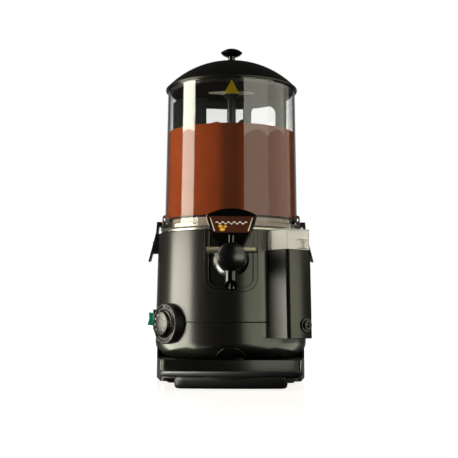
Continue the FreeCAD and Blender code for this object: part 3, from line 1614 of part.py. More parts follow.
nodes = {
    "base_tub": base_tub,
    "rubber_feet": rubber_feet,
    "base_screws": base_screws,
    "lower_body_shell": lower_body_shell,
    "upper_body_shell": upper_body_shell,
    "tap_panel": tap_panel,
    "level_box": level_box,
    "level_pipe": level_pipe,
    "drain_spigot": drain_spigot,
    "drain_cap": drain_cap,
    "dial_housing": dial_housing,
    "dial_scale_ring": dial_scale_ring,
    "thermostat_knob": thermostat_knob,
    "thermostat_spindle": thermostat_spindle,
    "thermostat_body": thermostat_body,
    "switch_bezel": switch_bezel,
    "switch_pin": switch_pin,
    "switch_rocker": switch_rocker,
    "clip_brackets": clip_brackets,
    "clip_pins": clip_pins,
    "clip_lever_right": clip_lever_right,
    "clip_lever_left": clip_lever_left,
    "tank": tank,
    "tank_marker": tank_marker,
    "vessel_gasket": vessel_gasket,
    "product_vessel": product_vessel,
    "bath_vessel": bath_vessel,
    "heating_element": heating_element,
    "overheat_cutout": overheat_cutout,
    "centre_tube": centre_tube,
    "shaft_bushes": shaft_bushes,
    "motor_bracket": motor_bracket,
    "gearbox": gearbox,
    "gearbox_screws": gearbox_screws,
    "motor_can": motor_can,
    "drive_shaft": drive_shaft,
    "shaft_coupling": shaft_coupling,
    "stirrer_hub": stirrer_hub,
    "stirrer_wing_nut": stirrer_wing_nut,
    "stirrer_solid_wing": stirrer_solid_wing,
    "stirrer_open_wing": stirrer_open_wing,
    "stirrer_foot": stirrer_foot,
    "lid_dome": lid_dome,
    "lid_knob": lid_knob,
    "lid_knob_screw": lid_knob_screw,
    "tap_body": tap_body,
    "tap_seal": tap_seal,
    "tap_ring_nut": tap_ring_nut,
    "tap_piston": tap_piston,
    "handle_pivot_pin": handle_pivot_pin,
    "handle_springs": handle_springs,
    "tap_handle": tap_handle,
    "handle_plate": handle_plate,
    "drip_tray": drip_tray,
    "drip_grille": drip_grille,
    "rear_panel": rear_panel,
    "panel_screws": panel_screws,
    "cable_gland": cable_gland,
    "cable_gland_nut": cable_gland_nut,
    "terminal_block": terminal_block,
}


def main():
    os.makedirs("parts", exist_ok=True)
    for name, make in nodes.items():
        shape = moved(make(), 0, front_shift, 0)
        box = shape.optimalBoundingBox()
        print(f"{name:20s} solids {len(shape.Solids)} valid {shape.isValid()} volume {shape.Volume:10.0f} "
              f"x {box.XMin:7.1f} {box.XMax:7.1f} y {box.YMin:7.1f} {box.YMax:7.1f} "
              f"z {box.ZMin:6.1f} {box.ZMax:6.1f}")
        shape.exportStep(f"parts/{name}.step")


main()
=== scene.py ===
import json
import math

import bmesh
import bpy
import numpy as np
from mathutils import Matrix, Vector


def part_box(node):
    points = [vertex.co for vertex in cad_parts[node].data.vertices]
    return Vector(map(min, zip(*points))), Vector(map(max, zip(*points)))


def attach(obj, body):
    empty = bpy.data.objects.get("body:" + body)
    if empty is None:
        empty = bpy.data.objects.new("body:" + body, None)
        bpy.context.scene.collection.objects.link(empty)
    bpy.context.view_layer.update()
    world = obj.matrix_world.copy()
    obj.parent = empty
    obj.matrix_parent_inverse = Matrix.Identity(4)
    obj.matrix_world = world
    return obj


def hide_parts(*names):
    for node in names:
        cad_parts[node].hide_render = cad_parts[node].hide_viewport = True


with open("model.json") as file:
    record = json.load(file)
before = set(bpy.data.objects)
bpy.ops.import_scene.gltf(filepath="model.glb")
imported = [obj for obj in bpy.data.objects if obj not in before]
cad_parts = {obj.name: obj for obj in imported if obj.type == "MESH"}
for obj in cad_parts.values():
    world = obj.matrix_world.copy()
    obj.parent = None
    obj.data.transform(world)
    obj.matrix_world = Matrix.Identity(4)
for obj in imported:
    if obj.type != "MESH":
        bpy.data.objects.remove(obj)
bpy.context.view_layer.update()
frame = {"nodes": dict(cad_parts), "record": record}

nodes = frame["nodes"]
mm = 0.001
print("frame loaded:", len(nodes), "nodes")


# Small tools

def linear(hexColour):
    # sRGB hex to the linear values that shaders take
    channels = [int(hexColour[i:i + 2], 16) / 255 for i in (1, 3, 5)]
    return [c / 12.92 if c <= 0.04045 else ((c + 0.055) / 1.055) ** 2.4 for c in channels] + [1.0]


def addNode(tree, kind, settings=None, links=None):
    # one node with its settings; a setting is an input socket's value or a property of the node
    node = tree.nodes.new(kind)
    for key, value in (settings or {}).items():
        if not isinstance(key, int) and hasattr(node, key):
            setattr(node, key, value)
        else:
            node.inputs[key].default_value = value
    for key, source in (links or {}).items():
        tree.links.new(source, node.inputs[key])
    return node


def newMaterial(name):
    # an empty material, its tree and its pattern's place
    material = bpy.data.materials.new(name)
    material.use_nodes = True
    tree = material.node_tree
    tree.nodes.clear()
    return material, tree, addNode(tree, "ShaderNodeTexCoord").outputs["Object"]


def toSurface(material, shader):
    addNode(material.node_tree, "ShaderNodeOutputMaterial", None, {"Surface": shader.outputs[0]})
    return material


def noise(tree, place, scale, detail, **more):
    return addNode(tree, "ShaderNodeTexNoise", {"Scale": scale, "Detail": detail, **more},
                   {"Vector": place}).outputs["Fac"]


def blend(tree, share, first, second):
    # the first colour where the share is 0, the second where it is 1
    return addNode(tree, "ShaderNodeMix", {"data_type": "RGBA", 6: first, 7: second}, {0: share}).outputs[2]


def scaled(colour, factor):
    return [c * factor for c in colour[:3]] + [1]


def smoothStep(tree, value, low, high, start=0.0, end=1.0):
    # turns smoothly from start, where the value is low, to end, where it is high
    settings = {"From Min": low, "From Max": high, "To Min": start, "To Max": end}
    return addNode(tree, "ShaderNodeMapRange", {"interpolation_type": "SMOOTHSTEP", **settings},
                   {"Value": value}).outputs["Result"]


noiseMiddle = (0.3, 0.7)  # most of a noise's values lie between these


def roughened(tree, look, share):
    # the middle of the noise spreads the roughness evenly about its value
    return addNode(tree, "ShaderNodeMapRange", {"From Min": noiseMiddle[0], "From Max": noiseMiddle[1],
                                                "To Min": look["roughness"] - look["spread"],
                                                "To Max": look["roughness"] + look["spread"]},
                   {"Value": share}).outputs["Result"]


def bumped(tree, share, depth, strength=1.0):
    return addNode(tree, "ShaderNodeBump", {"Strength": strength, "Distance": depth},
                   {"Height": share}).outputs["Normal"]


def gridPiece(name, points, look, body="machine", wrapRows=False, sharp=35):
    # points[i, j] is the surface at two parameters; each quad joins four neighbours, the last column joins
    # the first, and with wrapRows so does the last row. Rows that shrink to a point close the piece.
    rows, columns = points.shape[:2]
    index = np.arange(rows * columns).reshape(rows, columns)
    if wrapRows:
        index = np.vstack([index, index[:1]])
    index = np.hstack([index, index[:, :1]])
    quads = np.stack([index[:-1, :-1], index[:-1, 1:], index[1:, 1:], index[1:, :-1]], -1).reshape(-1, 4)
    mesh = bpy.data.meshes.new(name)
    mesh.from_pydata(points.reshape(-1, 3).tolist(), [], quads.tolist())
    return finishPiece(name, mesh, look, body, sharp)


def tubePiece(name, path, radius, count, look, body="machine"):
    return gridPiece(name, tubeAlong(path, radius, count), look, body)


def capped(loops):
    # closes a tube: its first and last loops shrink to their middles
    ends = [np.repeat(loops[[i]].mean(1)[:, None], loops.shape[1], 1) for i in (0, -1)]
    return np.concatenate([ends[0], loops, ends[1]])


def folded(loops):
    # closes a wall whose loops run out along one face and back along the other, by folding the way back
    # onto the way out in the first and the last
    ends = [loops[[i]].copy() for i in (0, -1)]
    count = loops.shape[1] // 2
    for end in ends:
        end[0, count:] = end[0, :count][::-1]
    return np.concatenate([ends[0], loops, ends[1]])


def squareTo(along):
    # unit vectors square to the given ones, in their plane
    along = along / np.linalg.norm(along, axis=1, keepdims=True)
    return np.stack([-along[:, 1], along[:, 0]], 1)


def finishPiece(name, mesh, look, body, sharp=35):
    # merges doubles, turns faces outwards, smooths all but sharp edges, and lets the piece ride
    work = bmesh.new()
    work.from_mesh(mesh)
    bmesh.ops.remove_doubles(work, verts=work.verts, dist=1e-6)
    bmesh.ops.recalc_face_normals(work, faces=work.faces)
    work.to_mesh(mesh)
    work.free()
    mesh.polygons.foreach_set("use_smooth", np.ones(len(mesh.polygons), bool))
    mesh.set_sharp_from_angle(angle=math.radians(sharp))
    piece = bpy.data.objects.new(name, mesh)
    bpy.context.scene.collection.objects.link(piece)
    mesh.materials.append(looks[look])
    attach(piece, body)
    return piece


def around(count):
    return np.linspace(0, 2 * math.pi, count, endpoint=False)


def revolved(profile, count=160):
    # profile[i] = (radius, height), turned about the tank's upright axis
    radius, height = np.asarray(profile, float).T
    turn = around(count)
    x = tankAxis.x + radius[:, None] * np.cos(turn)
    y = tankAxis.y + radius[:, None] * np.sin(turn)
    z = np.broadcast_to(height[:, None], x.shape)
    return np.stack([x, y, z], -1)


def tubeAlong(path, radius, count):
    # circle of the given radius square to the path at each point; both ends shrink to a point
    tangent = np.gradient(path, axis=0)
    tangent /= np.linalg.norm(tangent, axis=1, keepdims=True)
    helper = np.where(np.abs(tangent[:, :1]) > 0.9, [[0.0, 0.0, 1.0]], [[1.0, 0.0, 0.0]])
    side = np.cross(tangent, helper)
    side /= np.linalg.norm(side, axis=1, keepdims=True)
    other = np.cross(tangent, side)
    turn = around(count)[None, :, None]
    ring = path[:, None] + radius * (np.cos(turn) * side[:, None] + np.sin(turn) * other[:, None])
    start = np.repeat(path[:1, None], count, 1)
    end = np.repeat(path[-1:, None], count, 1)
    return np.concatenate([start, ring, end])


def middleOf(node):
    low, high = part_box(node)
    return (low + high) / 2


# Materials

plasticKeys = ("colour", "roughness", "spread", "ior", "grainMm", "bumpMm", "mottleMm", "mottle")
plasticBase = {"mottleDetail": 3.0, "grainDetail": 4.0, "grainRough": 0.65}
plasticRows = {
    # injection-moulded ABS from a spark-eroded tool: near black, a soft wide highlight, fine grain
    "satinAbs": ("#22211c", 0.24, 0.03, 1.6, 0.9, 0.012, 40.0, 0.12),
    # ABS from a polished tool: sharp reflections with a trace of orange peel
    "glossAbs": ("#0c0c0b", 0.1, 0.04, 1.54, 9.0, 0.006, 60.0, 0.06),
    # the tray's ABS, from a coarse-blasted tool: light spreads wide over it
    "trayAbs": ("#1a1c19", 0.46, 0.04, 1.58, 0.9, 0.01, 40.0, 0.1),
    # the pocket's ABS, from a leather-grained tool: a coarse sparkle
    "grainedAbs": ("#1b1b17", 0.36, 0.1, 1.6, 1.5, 0.05, 30.0, 0.15),
    # the base's ABS, from a sand-blasted tool: dull
    "baseAbs": ("#151612", 0.34, 0.04, 1.5, 0.9, 0.01, 40.0, 0.1),
    # the dial plate's ABS, from an etched tool: flat black
    "etchedAbs": ("#13120f", 0.55, 0.05, 1.4, 1.0, 0.01, 20.0, 0.1),
    # painted shade: near-black matt ABS that stands in for the shade down in a joint line or a corner
    "jointShadow": ("#050504", 0.8, 0.05, 1.3, 1.0, 0.005, 20.0, 0.1),
    # fibre-filled food-grade nylon: darker and duller than the casing
    "stirrerNylon": ("#1d201e", 0.34, 0.06, 1.53, 1.6, 0.01, 25.0, 0.2),
    # cast reddish-brown nitrile rubber
    "footRubber": ("#4a1e17", 0.62, 0.08, 1.52, 0.8, 0.02, 8.0, 0.2),
    # moulded silicone, milky and soft
    "siliconeSeal": ("#4d4a43", 0.5, 0.06, 1.43, 1.2, 0.01, 12.0, 0.08),
    # the gasket's lip: the silicone painted paler and pinkish, standing in for the light and the drink's
    # colour that show through it
    "gasketLip": ("#9a8576", 0.45, 0.08, 1.43, 3.0, 0.03, 9.0, 0.25),
    # grey stoving enamel on the motor and gearbox
    "motorEnamel": ("#5b5d5f", 0.38, 0.08, 1.5, 2.0, 0.02, 18.0, 0.12),
    # the same ABS on the handle's ball and the dial, from a fine-blasted tool: a soft, small highlight
    "satinBall": ("#10100e", 0.27, 0.04, 1.54, 0.8, 0.006, 20.0, 0.1),
    # the lid's ABS, sprayed with a matt soft coat
    "lidAbs": ("#15140f", 0.36, 0.04, 1.46, 0.9, 0.008, 40.0, 0.1),
    # the same ABS, smoother and painted paler: a painted highlight along the edges that the beads follow
    "highlightBeadAbs": ("#3a3934", 0.22, 0.05, 1.6, 3.0, 0.01, 30.0, 0.3),
    # screen-printed plate under gloss varnish
    "labelVarnish": ("#45210f", 0.16, 0.05, 1.5, 5.0, 0.004, 20.0, 0.25),
    # cast vinyl film
    "yellowVinyl": ("#ecca1e", 0.3, 0.05, 1.5, 2.0, 0.004, 9.0, 0.08),
    # pad-printed ink
    "creamInk": ("#ece2c4", 0.4, 0.05, 1.5, 1.0, 0.003, 4.0, 0.1),
    "yellowInk": ("#e9b51f", 0.4, 0.05, 1.5, 1.0, 0.003, 4.0, 0.1),
    "whiteInk": ("#e6e3d8", 0.4, 0.05, 1.5, 1.0, 0.003, 4.0, 0.06),
    "greyInk": ("#8d8a80", 0.4, 0.05, 1.5, 1.0, 0.003, 4.0, 0.1),
    "blackInk": ("#22211f", 0.45, 0.05, 1.5, 1.0, 0.003, 4.0, 0.06),
}
plasticLooks = {name: dict(zip(plasticKeys, row)) for name, row in plasticRows.items()}

metalBase = {"streakDetail": 3.0, "darker": 0.88, "bumpMm": 0.01, "bump": 0.6}
metalLooks = {
    # deep-drawn stainless, brushed: fine scratches run level round the piece
    "brushedStainless": {"colour": "#b9b6b0", "roughness": 0.27, "spread": 0.1, "scratchMm": 0.35,
                         "length": 40},
    # hard-drawn spring wire, slightly warm
    "springWire": {"colour": "#c9bfa9", "roughness": 0.42, "spread": 0.06, "scratchMm": 0.5, "length": 6},
    # oil-blackened wire
    "blackenedWire": {"colour": "#4a463e", "roughness": 0.4, "spread": 0.08, "scratchMm": 0.5, "length": 6},
    # zinc plate: bluish, cloudy
    "zincPlate": {"colour": "#a9adb2", "roughness": 0.33, "spread": 0.14, "scratchMm": 2.5, "length": 1},
    # turned brass
    "turnedBrass": {"colour": "#b08d4c", "roughness": 0.25, "spread": 0.08, "scratchMm": 0.4, "length": 30},
}


def plastic(name, look):
    # colour drifts with a wide noise; roughness and bump come from the grain of the tool
    material, tree, place = newMaterial(name)
    mottle = noise(tree, place, 1 / (look["mottleMm"] * mm), look["mottleDetail"])
    grain = noise(tree, place, 1 / (look["grainMm"] * mm), look["grainDetail"],
                  Roughness=look["grainRough"])
    base = linear(look["colour"])
    light = [min(1.0, c) for c in scaled(base, 1 + look["mottle"])]
    tint = blend(tree, mottle, scaled(base, 1 - look["mottle"]), light)
    return toSurface(material, addNode(tree, "ShaderNodeBsdfPrincipled", {"IOR": look["ior"]}, {
        "Base Color": tint, "Roughness": roughened(tree, look, grain),
        "Normal": bumped(tree, grain, look["bumpMm"] * mm)}))


def metal(name, look):
    # noise stretched along X and Y, so that its streaks run level; scratches vary roughness and bump
    material, tree, place = newMaterial(name)
    across = 1 / (look["scratchMm"] * mm)
    along = across / look["length"]
    stretch = addNode(tree, "ShaderNodeMapping", {"Scale": (along, along, across)}, {"Vector": place})
    streak = noise(tree, stretch.outputs[0], 1.0, look["streakDetail"])
    base = linear(look["colour"])
    return toSurface(material, addNode(tree, "ShaderNodeBsdfPrincipled", {"Metallic": 1.0}, {
        "Base Color": blend(tree, streak, scaled(base, look["darker"]), base),
        "Roughness": roughened(tree, look, streak),
        "Normal": bumped(tree, streak, look["bumpMm"] * mm, look["bump"])}))


clearBase = {"waveDetail": 2.0, "bumpMm": 0.02, "bump": 0.5}
clearLooks = {
    # moulded polycarbonate, water-clear, hard crisp reflections
    "clearPolycarbonate": {"colour": "#fbfcfa", "roughness": 0.012, "ior": 1.58, "haze": 0.0,
                           "waveMm": 60.0},
    # moulded SAN with a fine haze on its inner faces
    "hazySan": {"colour": "#fdfcfa", "roughness": 0.2, "ior": 1.57, "haze": 0.2, "waveMm": 4.0},
    # polypropylene nut, translucent
    "clearNut": {"colour": "#e9e6da", "roughness": 0.18, "ior": 1.49, "haze": 0.45, "waveMm": 3.0},
}


def clearPlastic(name, look):
    # glass-like; lamps pass straight through, as through a thin wall; haze adds a milky share
    material, tree, place = newMaterial(name)
    wave = noise(tree, place, 1 / (look["waveMm"] * mm), look["waveDetail"])
    colour = linear(look["colour"])
    shader = addNode(tree, "ShaderNodeBsdfPrincipled",
                     {"Base Color": colour, "Roughness": look["roughness"], "IOR": look["ior"],
                      "Transmission Weight": 1.0 - look["haze"]},
                     {"Normal": bumped(tree, wave, look["bumpMm"] * mm, look["bump"])})
    through = addNode(tree, "ShaderNodeBsdfTransparent", {"Color": colour})
    ray = addNode(tree, "ShaderNodeLightPath")
    return toSurface(material, addNode(tree, "ShaderNodeMixShader", None, {
        0: ray.outputs["Is Shadow Ray"], 1: shader.outputs["BSDF"], 2: through.outputs["BSDF"]}))


chocolateBase = {
    "ior": 1.46, "scatterMm": 2.0, "scatter": 0.15, "scatterReach": (1.0, 0.45, 0.2), "swirlDetail": 5.0,
    "swirlTwist": 1.2,
}
chocolateLooks = {
    # cocoa in milk that wets the wall: warm brown with no shine of its own, drifting where it was stirred
    "drinkingChocolate": {"colour": "#8b3d1b", "deep": "#763316", "shade": "#5b2b16", "roughness": 0.5,
                          "shine": 0.0, "swirlMm": 60.0},
    # its open surface: the same brown under a wet shine
    "chocolateSurface": {"colour": "#904222", "deep": "#77351b", "shade": "#77351b", "roughness": 0.16,
                         "shine": 0.5, "swirlMm": 30.0},
}


# the band of Object X painted darkest, a painted shade where less light reaches the front of the drink, and
# how much of it falls away again on the right
paintedShadeBand = {"start": -26 * mm, "full": -8 * mm, "thin": 6 * mm, "end": 20 * mm, "fall": 0.55}


def chocolate(name, look):
    # a swirled noise mixes the two browns; a little light comes back from below the surface
    material, tree, place = newMaterial(name)
    swirl = noise(tree, place, 1 / (look["swirlMm"] * mm), look["swirlDetail"],
                  Distortion=look["swirlTwist"])
    tint = blend(tree, swirl, linear(look["deep"]), linear(look["colour"]))
    # painted shade: a darker band across the front of the drink, where little of the light from the left
    # reaches it
    level = addNode(tree, "ShaderNodeSeparateXYZ", None, {0: place}).outputs["X"]
    share = addNode(tree, "ShaderNodeMath", {"operation": "SUBTRACT"}, {
        0: smoothStep(tree, level, paintedShadeBand["start"], paintedShadeBand["full"]),
        1: smoothStep(tree, level, paintedShadeBand["thin"], paintedShadeBand["end"], end=paintedShadeBand["fall"])})
    brown = addNode(tree, "ShaderNodeMix", {"data_type": "RGBA", 7: linear(look["shade"])},
                    {0: share.outputs[0], 6: tint})
    return toSurface(material, addNode(
        tree, "ShaderNodeBsdfPrincipled",
        {"Roughness": look["roughness"], "IOR": look["ior"], "Specular IOR Level": look["shine"],
         "Subsurface Weight": look["scatter"], "Subsurface Scale": look["scatterMm"] * mm,
         "Subsurface Radius": look["scatterReach"]}, {"Base Color": brown.outputs[2]}))


greenLook = {
    "colour": "#0f8f6c", "roughness": 0.16, "ior": 1.58, "transmission": 0.35, "glow": 0.22,
    "cloudMm": 6.0, "cloudDetail": 2.0, "darker": 0.8,
}


def litRocker(look):
    # translucent green polycarbonate over a neon lamp
    material, tree, place = newMaterial("greenPolycarbonate")
    base = linear(look["colour"])
    cloud = noise(tree, place, 1 / (look["cloudMm"] * mm), look["cloudDetail"])
    tint = blend(tree, cloud, scaled(base, look["darker"]), base)
    return toSurface(material, addNode(
        tree, "ShaderNodeBsdfPrincipled",
        {"Roughness": look["roughness"], "IOR": look["ior"], "Transmission Weight": look["transmission"],
         "Emission Color": base, "Emission Strength": look["glow"]}, {"Base Color": tint}))


looks = {}
for make, base, table in (
        (plastic, plasticBase, plasticLooks), (metal, metalBase, metalLooks),
        (clearPlastic, clearBase, clearLooks), (chocolate, chocolateBase, chocolateLooks)):
    looks.update({name: make(name, {**base, **look}) for name, look in table.items()})
looks["greenPolycarbonate"] = litRocker(greenLook)

slotLooks = {
    "black_satin_plastic": "satinAbs", "black_gloss_plastic": "glossAbs",
    "clear_plastic": "clearPolycarbonate", "stainless_steel": "brushedStainless",
    "spring_steel": "springWire", "rubber": "footRubber", "silicone": "siliconeSeal",
    "stirrer_plastic": "stirrerNylon", "green_plastic": "greenPolycarbonate",
    "label_brown": "labelVarnish", "marker_yellow": "yellowVinyl", "motor_metal": "motorEnamel",
    "zinc_steel": "zincPlate", "brass": "turnedBrass",
}
nodeLooks = {
    "level_box": "hazySan", "stirrer_wing_nut": "clearNut", "drip_tray": "trayAbs",
    "drip_grille": "trayAbs", "lid_dome": "lidAbs", "base_tub": "baseAbs", "dial_housing": "etchedAbs",
}

for part in frame["record"]["subparts"]:
    name = part["node"]
    material = looks[nodeLooks.get(name, slotLooks[part["material_slot"]])]
    mesh = nodes[name].data
    mesh.materials.clear()
    mesh.materials.append(material)


# Drink in the tank and vessel

tankAxis = middleOf("tank")
# lumps: place across and back, size and height, in millimetres
drink = {
    "fill": 410 * mm, "footRadius": 109 * mm, "rimRadius": 105.6 * mm, "footHeight": 246 * mm,
    "rimHeight": 486 * mm, "wallGap": 0.25 * mm, "collarRadius": 98.4 * mm, "collarTop": 261 * mm,
    "floorTop": 264.2 * mm, "vesselRadius": 97.6 * mm, "vesselFloor": 171.6 * mm, "vesselTop": 242.8 * mm,
    "meniscus": 1.6 * mm, "skin": 1.2 * mm, "ripple": 0.7 * mm, "rippleLength": 26 * mm,
    "aroundCount": 256,
    "lumps": [(-23, -101, 5.0, 3.2), (-30, -99, 3.0, 1.6),
              (24, -100, 3.2, 1.8), (58, -82, 4.0, 1.4), (-66, -76, 3.6, 1.3)],
    "collarGap": 0.3 * mm, "wetShare": 0.4, "calmEdge": 8 * mm,
}


def wallRadius(height):
    share = (height - drink["footHeight"]) / (drink["rimHeight"] - drink["footHeight"])
    return drink["footRadius"] + (drink["rimRadius"] - drink["footRadius"]) * share - drink["wallGap"]


def makeDrink():
    # a turned body from the vessel's floor up the tank's wall, a lip where it wets the wall, and a top
    # with round waves that fade towards the wall, raised in small lumps where foam has gathered
    fill = drink["fill"]
    edge = wallRadius(fill)
    wall = np.linspace(drink["floorTop"], fill, 24)
    climb = np.linspace(0, math.pi / 2, 6)
    side = [(0, drink["vesselFloor"]), (drink["vesselRadius"], drink["vesselFloor"]),
            (drink["vesselRadius"], drink["vesselTop"]), (drink["collarRadius"], drink["vesselTop"]),
            (drink["collarRadius"], drink["collarTop"] + drink["collarGap"])]
    side += [(wallRadius(z), z) for z in wall]
    side += [(edge - drink["meniscus"] * (1 - math.cos(a)) * drink["wetShare"],
              fill + drink["meniscus"] * math.sin(a)) for a in climb]
    side.append((0, fill - drink["skin"]))
    body = revolved(side, drink["aroundCount"])
    gridPiece("hot_chocolate", body, "drinkingChocolate", "machine")
    wetEdge = edge - drink["meniscus"] * drink["wetShare"]
    rings = np.linspace(wetEdge, 0, 60)
    under = [(0, fill - drink["skin"] / 2), (wetEdge, fill - drink["skin"] / 2)]
    points = revolved(under + [(r, fill) for r in rings], drink["aroundCount"])
    top = points[-len(rings):]
    distance = np.hypot(top[..., 0] - tankAxis.x, top[..., 1] - tankAxis.y)
    top[..., 2] += drink["meniscus"] * np.exp(-(edge - distance) / drink["meniscus"])
    fade = np.clip((edge - distance) / drink["calmEdge"], 0, 1)
    top[..., 2] += drink["ripple"] * fade * np.sin(2 * math.pi * distance / drink["rippleLength"])
    for x, y, size, height in drink["lumps"]:
        away = np.hypot(top[..., 0] - tankAxis.x - x * mm, top[..., 1] - tankAxis.y - y * mm)
        top[..., 2] += height * mm * np.exp(-(away / (size * mm)) ** 2)
    gridPiece("hot_chocolate_surface", points, "chocolateSurface", "machine")


gasketLip = {"outer": 99.5 * mm, "inner": 98.7 * mm, "low": 243.4 * mm, "high": 260.6 * mm}


def makeGasketLip():
    # a thin sleeve up the tank's collar, between the drink and the clear wall
    lip = gasketLip
    profile = [(lip["inner"], lip["low"]), (lip["outer"], lip["low"]), (lip["outer"], lip["high"]),
               (lip["inner"], lip["high"])]
    gridPiece("gasket_lip", revolved(profile), "gasketLip", "machine",
              wrapRows=True)


makeDrink()
makeGasketLip()
print("drink filled")


# Springs of the handle

spring = {
    "inner": 16 * mm, "outer": 38 * mm, "wire": 0.6 * mm, "pitch": 1.1 * mm, "coilRadius": 4.3 * mm,
    "legX": 33 * mm, "legTop": 232 * mm, "legBack": 2.9 * mm, "stepsPerTurn": 24,
}


def makeSprings():
    # a helix about the pin, x rising with the turn, that ends in a straight leg up behind the handle
    pin = middleOf("handle_pivot_pin")
    for side, name in ((-1, "spring_left"), (1, "spring_right")):
        pitch = spring["pitch"]
        turns = (spring["outer"] - spring["inner"] - 2 * spring["wire"]) / pitch
        angle = np.arange(0, turns * 2 * math.pi, 2 * math.pi / spring["stepsPerTurn"])
        along = spring["inner"] + spring["wire"] + angle / (2 * math.pi) * pitch
        helix = np.stack([side * along, pin.y + spring["coilRadius"] * np.cos(angle),
                          pin.z + spring["coilRadius"] * np.sin(angle)], -1)
        foot = np.array([side * spring["legX"], pin.y + spring["coilRadius"], pin.z])
        top = np.array([side * spring["legX"], pin.y + spring["legBack"], spring["legTop"]])
        leg = foot + (top - foot) * np.linspace(0, 1, 14)[:, None]
        coil = tubePiece(name, helix, spring["wire"], 8, "springWire", "machine")
        tubePiece(name + "_leg", leg, spring["wire"], 10, "blackenedWire", "machine")
        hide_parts("handle_springs")


makeSprings()
print("springs wound")


# Places that the beads, prints and turned pieces share, in metres from the tank's axis and the feet

body = {"radius": 126.6 * mm, "foot": 36 * mm, "draft": 0.0201, "seam": 94 * mm, "back": 118 * mm}


def bodySide(height):
    return body["radius"] - body["draft"] * (height - body["foot"])


def facingPoint(facing, across, reach, height):
    # a point by its place across and ahead of the tank's axis, along a direction in degrees from the front;
    # numbers and arrays mix, as numpy lets them
    angle = math.radians(facing)
    out = np.array([math.sin(angle), -math.cos(angle), 0])
    side = np.array([math.cos(angle), math.sin(angle), 0])
    return (np.array([tankAxis.x, tankAxis.y, 0]) + np.asarray(reach)[..., None] * out
            + np.asarray(across)[..., None] * side + np.asarray(height)[..., None] * np.array([0, 0, 1.0]))


def turnedAlong(profile, facing, height, count=128):
    # profile[i] = (radius, reach), turned about a level axis that points out of the tank's axis
    radius, reach = np.asarray(profile, float).T[..., None]
    turn = around(count)
    return facingPoint(facing, radius * np.cos(turn), reach, height + radius * np.sin(turn))


def roundedPath(corners, step, blur):
    # a closed outline, resampled at even steps and softened by averaging neighbours within the blur
    corners = np.asarray(corners, float)
    closed = np.vstack([corners, corners[:1]])
    length = np.concatenate([[0], np.cumsum(np.linalg.norm(np.diff(closed, axis=0), axis=1))])
    count = int(length[-1] / step)
    even = np.linspace(0, length[-1], count, endpoint=False)
    path = np.stack([np.interp(even, length, closed[:, i]) for i in range(closed.shape[1])], 1)
    reach = max(1, int(blur / step))
    return sum(np.roll(path, shift, 0) for shift in range(-reach, reach + 1)) / (2 * reach + 1)


def arcThrough(start, middle, end, count):
    # points on the circle through three points of a plane
    a, b, c = (complex(*point) for point in (start, middle, end))
    w = (c - a) / (b - a)
    centre = (b - a) * (w - abs(w) ** 2) / (2j * w.imag) + a
    low, mid, high = (np.angle(point - centre) for point in (a, b, c))
    sweep = (high - low) % (2 * math.pi)
    if (mid - low) % (2 * math.pi) > sweep:
        sweep -= 2 * math.pi
    points = centre + abs(a - centre) * np.exp(1j * (low + np.linspace(0, sweep, count)))
    return np.stack([points.real, points.imag], 1)


# Handle: the ball's crowned face, the shield's chamfered edge and its print

# ridge: how far in, sunk and dropped the edge's second corner is, as shares of chamfer, proud and chamfer
handle = {
    "ballHeight": 190.8 * mm, "ballReach": 200 * mm, "ballRadius": 21.1 * mm, "crownRadius": 34 * mm,
    "frontReach": 199 * mm, "halfWidth": 38.3 * mm, "apex": 263.2 * mm, "corner": 252.5 * mm,
    "waistHalf": 29.6 * mm, "waist": 227 * mm, "footHalf": 16.8 * mm, "foot": 205 * mm,
    "chamfer": 1.0 * mm, "proud": 0.15 * mm, "cornerBlur": 3.2 * mm, "faceLift": 0.2 * mm,
    "faceInset": 1.4 * mm, "shoulderStart": 0.6, "shoulderWide": 1.62 * mm, "shoulderDeep": 5 * mm,
    "sideLift": 0.22 * mm, "rearInset": 0.6 * mm, "step": 0.8 * mm, "ridge": (0.42, 0.2, 0.32),
    "tuck": 1.2, "tuckDeep": 0.1 * mm,
}
inkThick = 0.1 * mm


def makeBallFace():
    # a shallow crown, r falling away as a sphere of the crown's radius, then a tight round to its side
    crown = handle["crownRadius"]
    tip = handle["ballReach"] + handle["ballRadius"] + handle["faceLift"]
    radius = np.linspace(0, handle["ballRadius"] - handle["faceInset"], 40)
    face = [(r, tip - crown + math.sqrt(crown ** 2 - r ** 2)) for r in radius]
    edge, drop = face[-1]
    start = handle["shoulderStart"]
    turn = np.linspace(start, math.pi / 2, 10)[1:]
    shoulder = [(edge + handle["shoulderWide"] * (math.sin(a) - math.sin(start)) / (1 - math.sin(start)),
                 drop - handle["shoulderDeep"] * (math.cos(start) - math.cos(a))) for a in turn]
    side = [(handle["ballRadius"] + handle["sideLift"], handle["ballReach"]),
            (handle["ballRadius"] - handle["rearInset"], handle["ballReach"]), (0, handle["ballReach"])]
    points = turnedAlong(face + shoulder + side, 0, handle["ballHeight"])
    gridPiece("handle_ball_face", points, "satinBall", "tap_lever")


def shieldOutline():
    # arched top, bowed sides and a narrow foot, as (x, z)
    right = (handle["halfWidth"], handle["corner"])
    left = (-handle["halfWidth"], handle["corner"])
    footRight = (handle["footHalf"], handle["foot"])
    footLeft = (-handle["footHalf"], handle["foot"])
    top = arcThrough(left, (0, handle["apex"]), right, 60)
    rightSide = arcThrough(right, (handle["waistHalf"], handle["waist"]), footRight, 60)
    leftSide = arcThrough(footLeft, (-handle["waistHalf"], handle["waist"]), left, 60)
    return np.vstack([top, rightSide[1:], leftSide[:-1]])


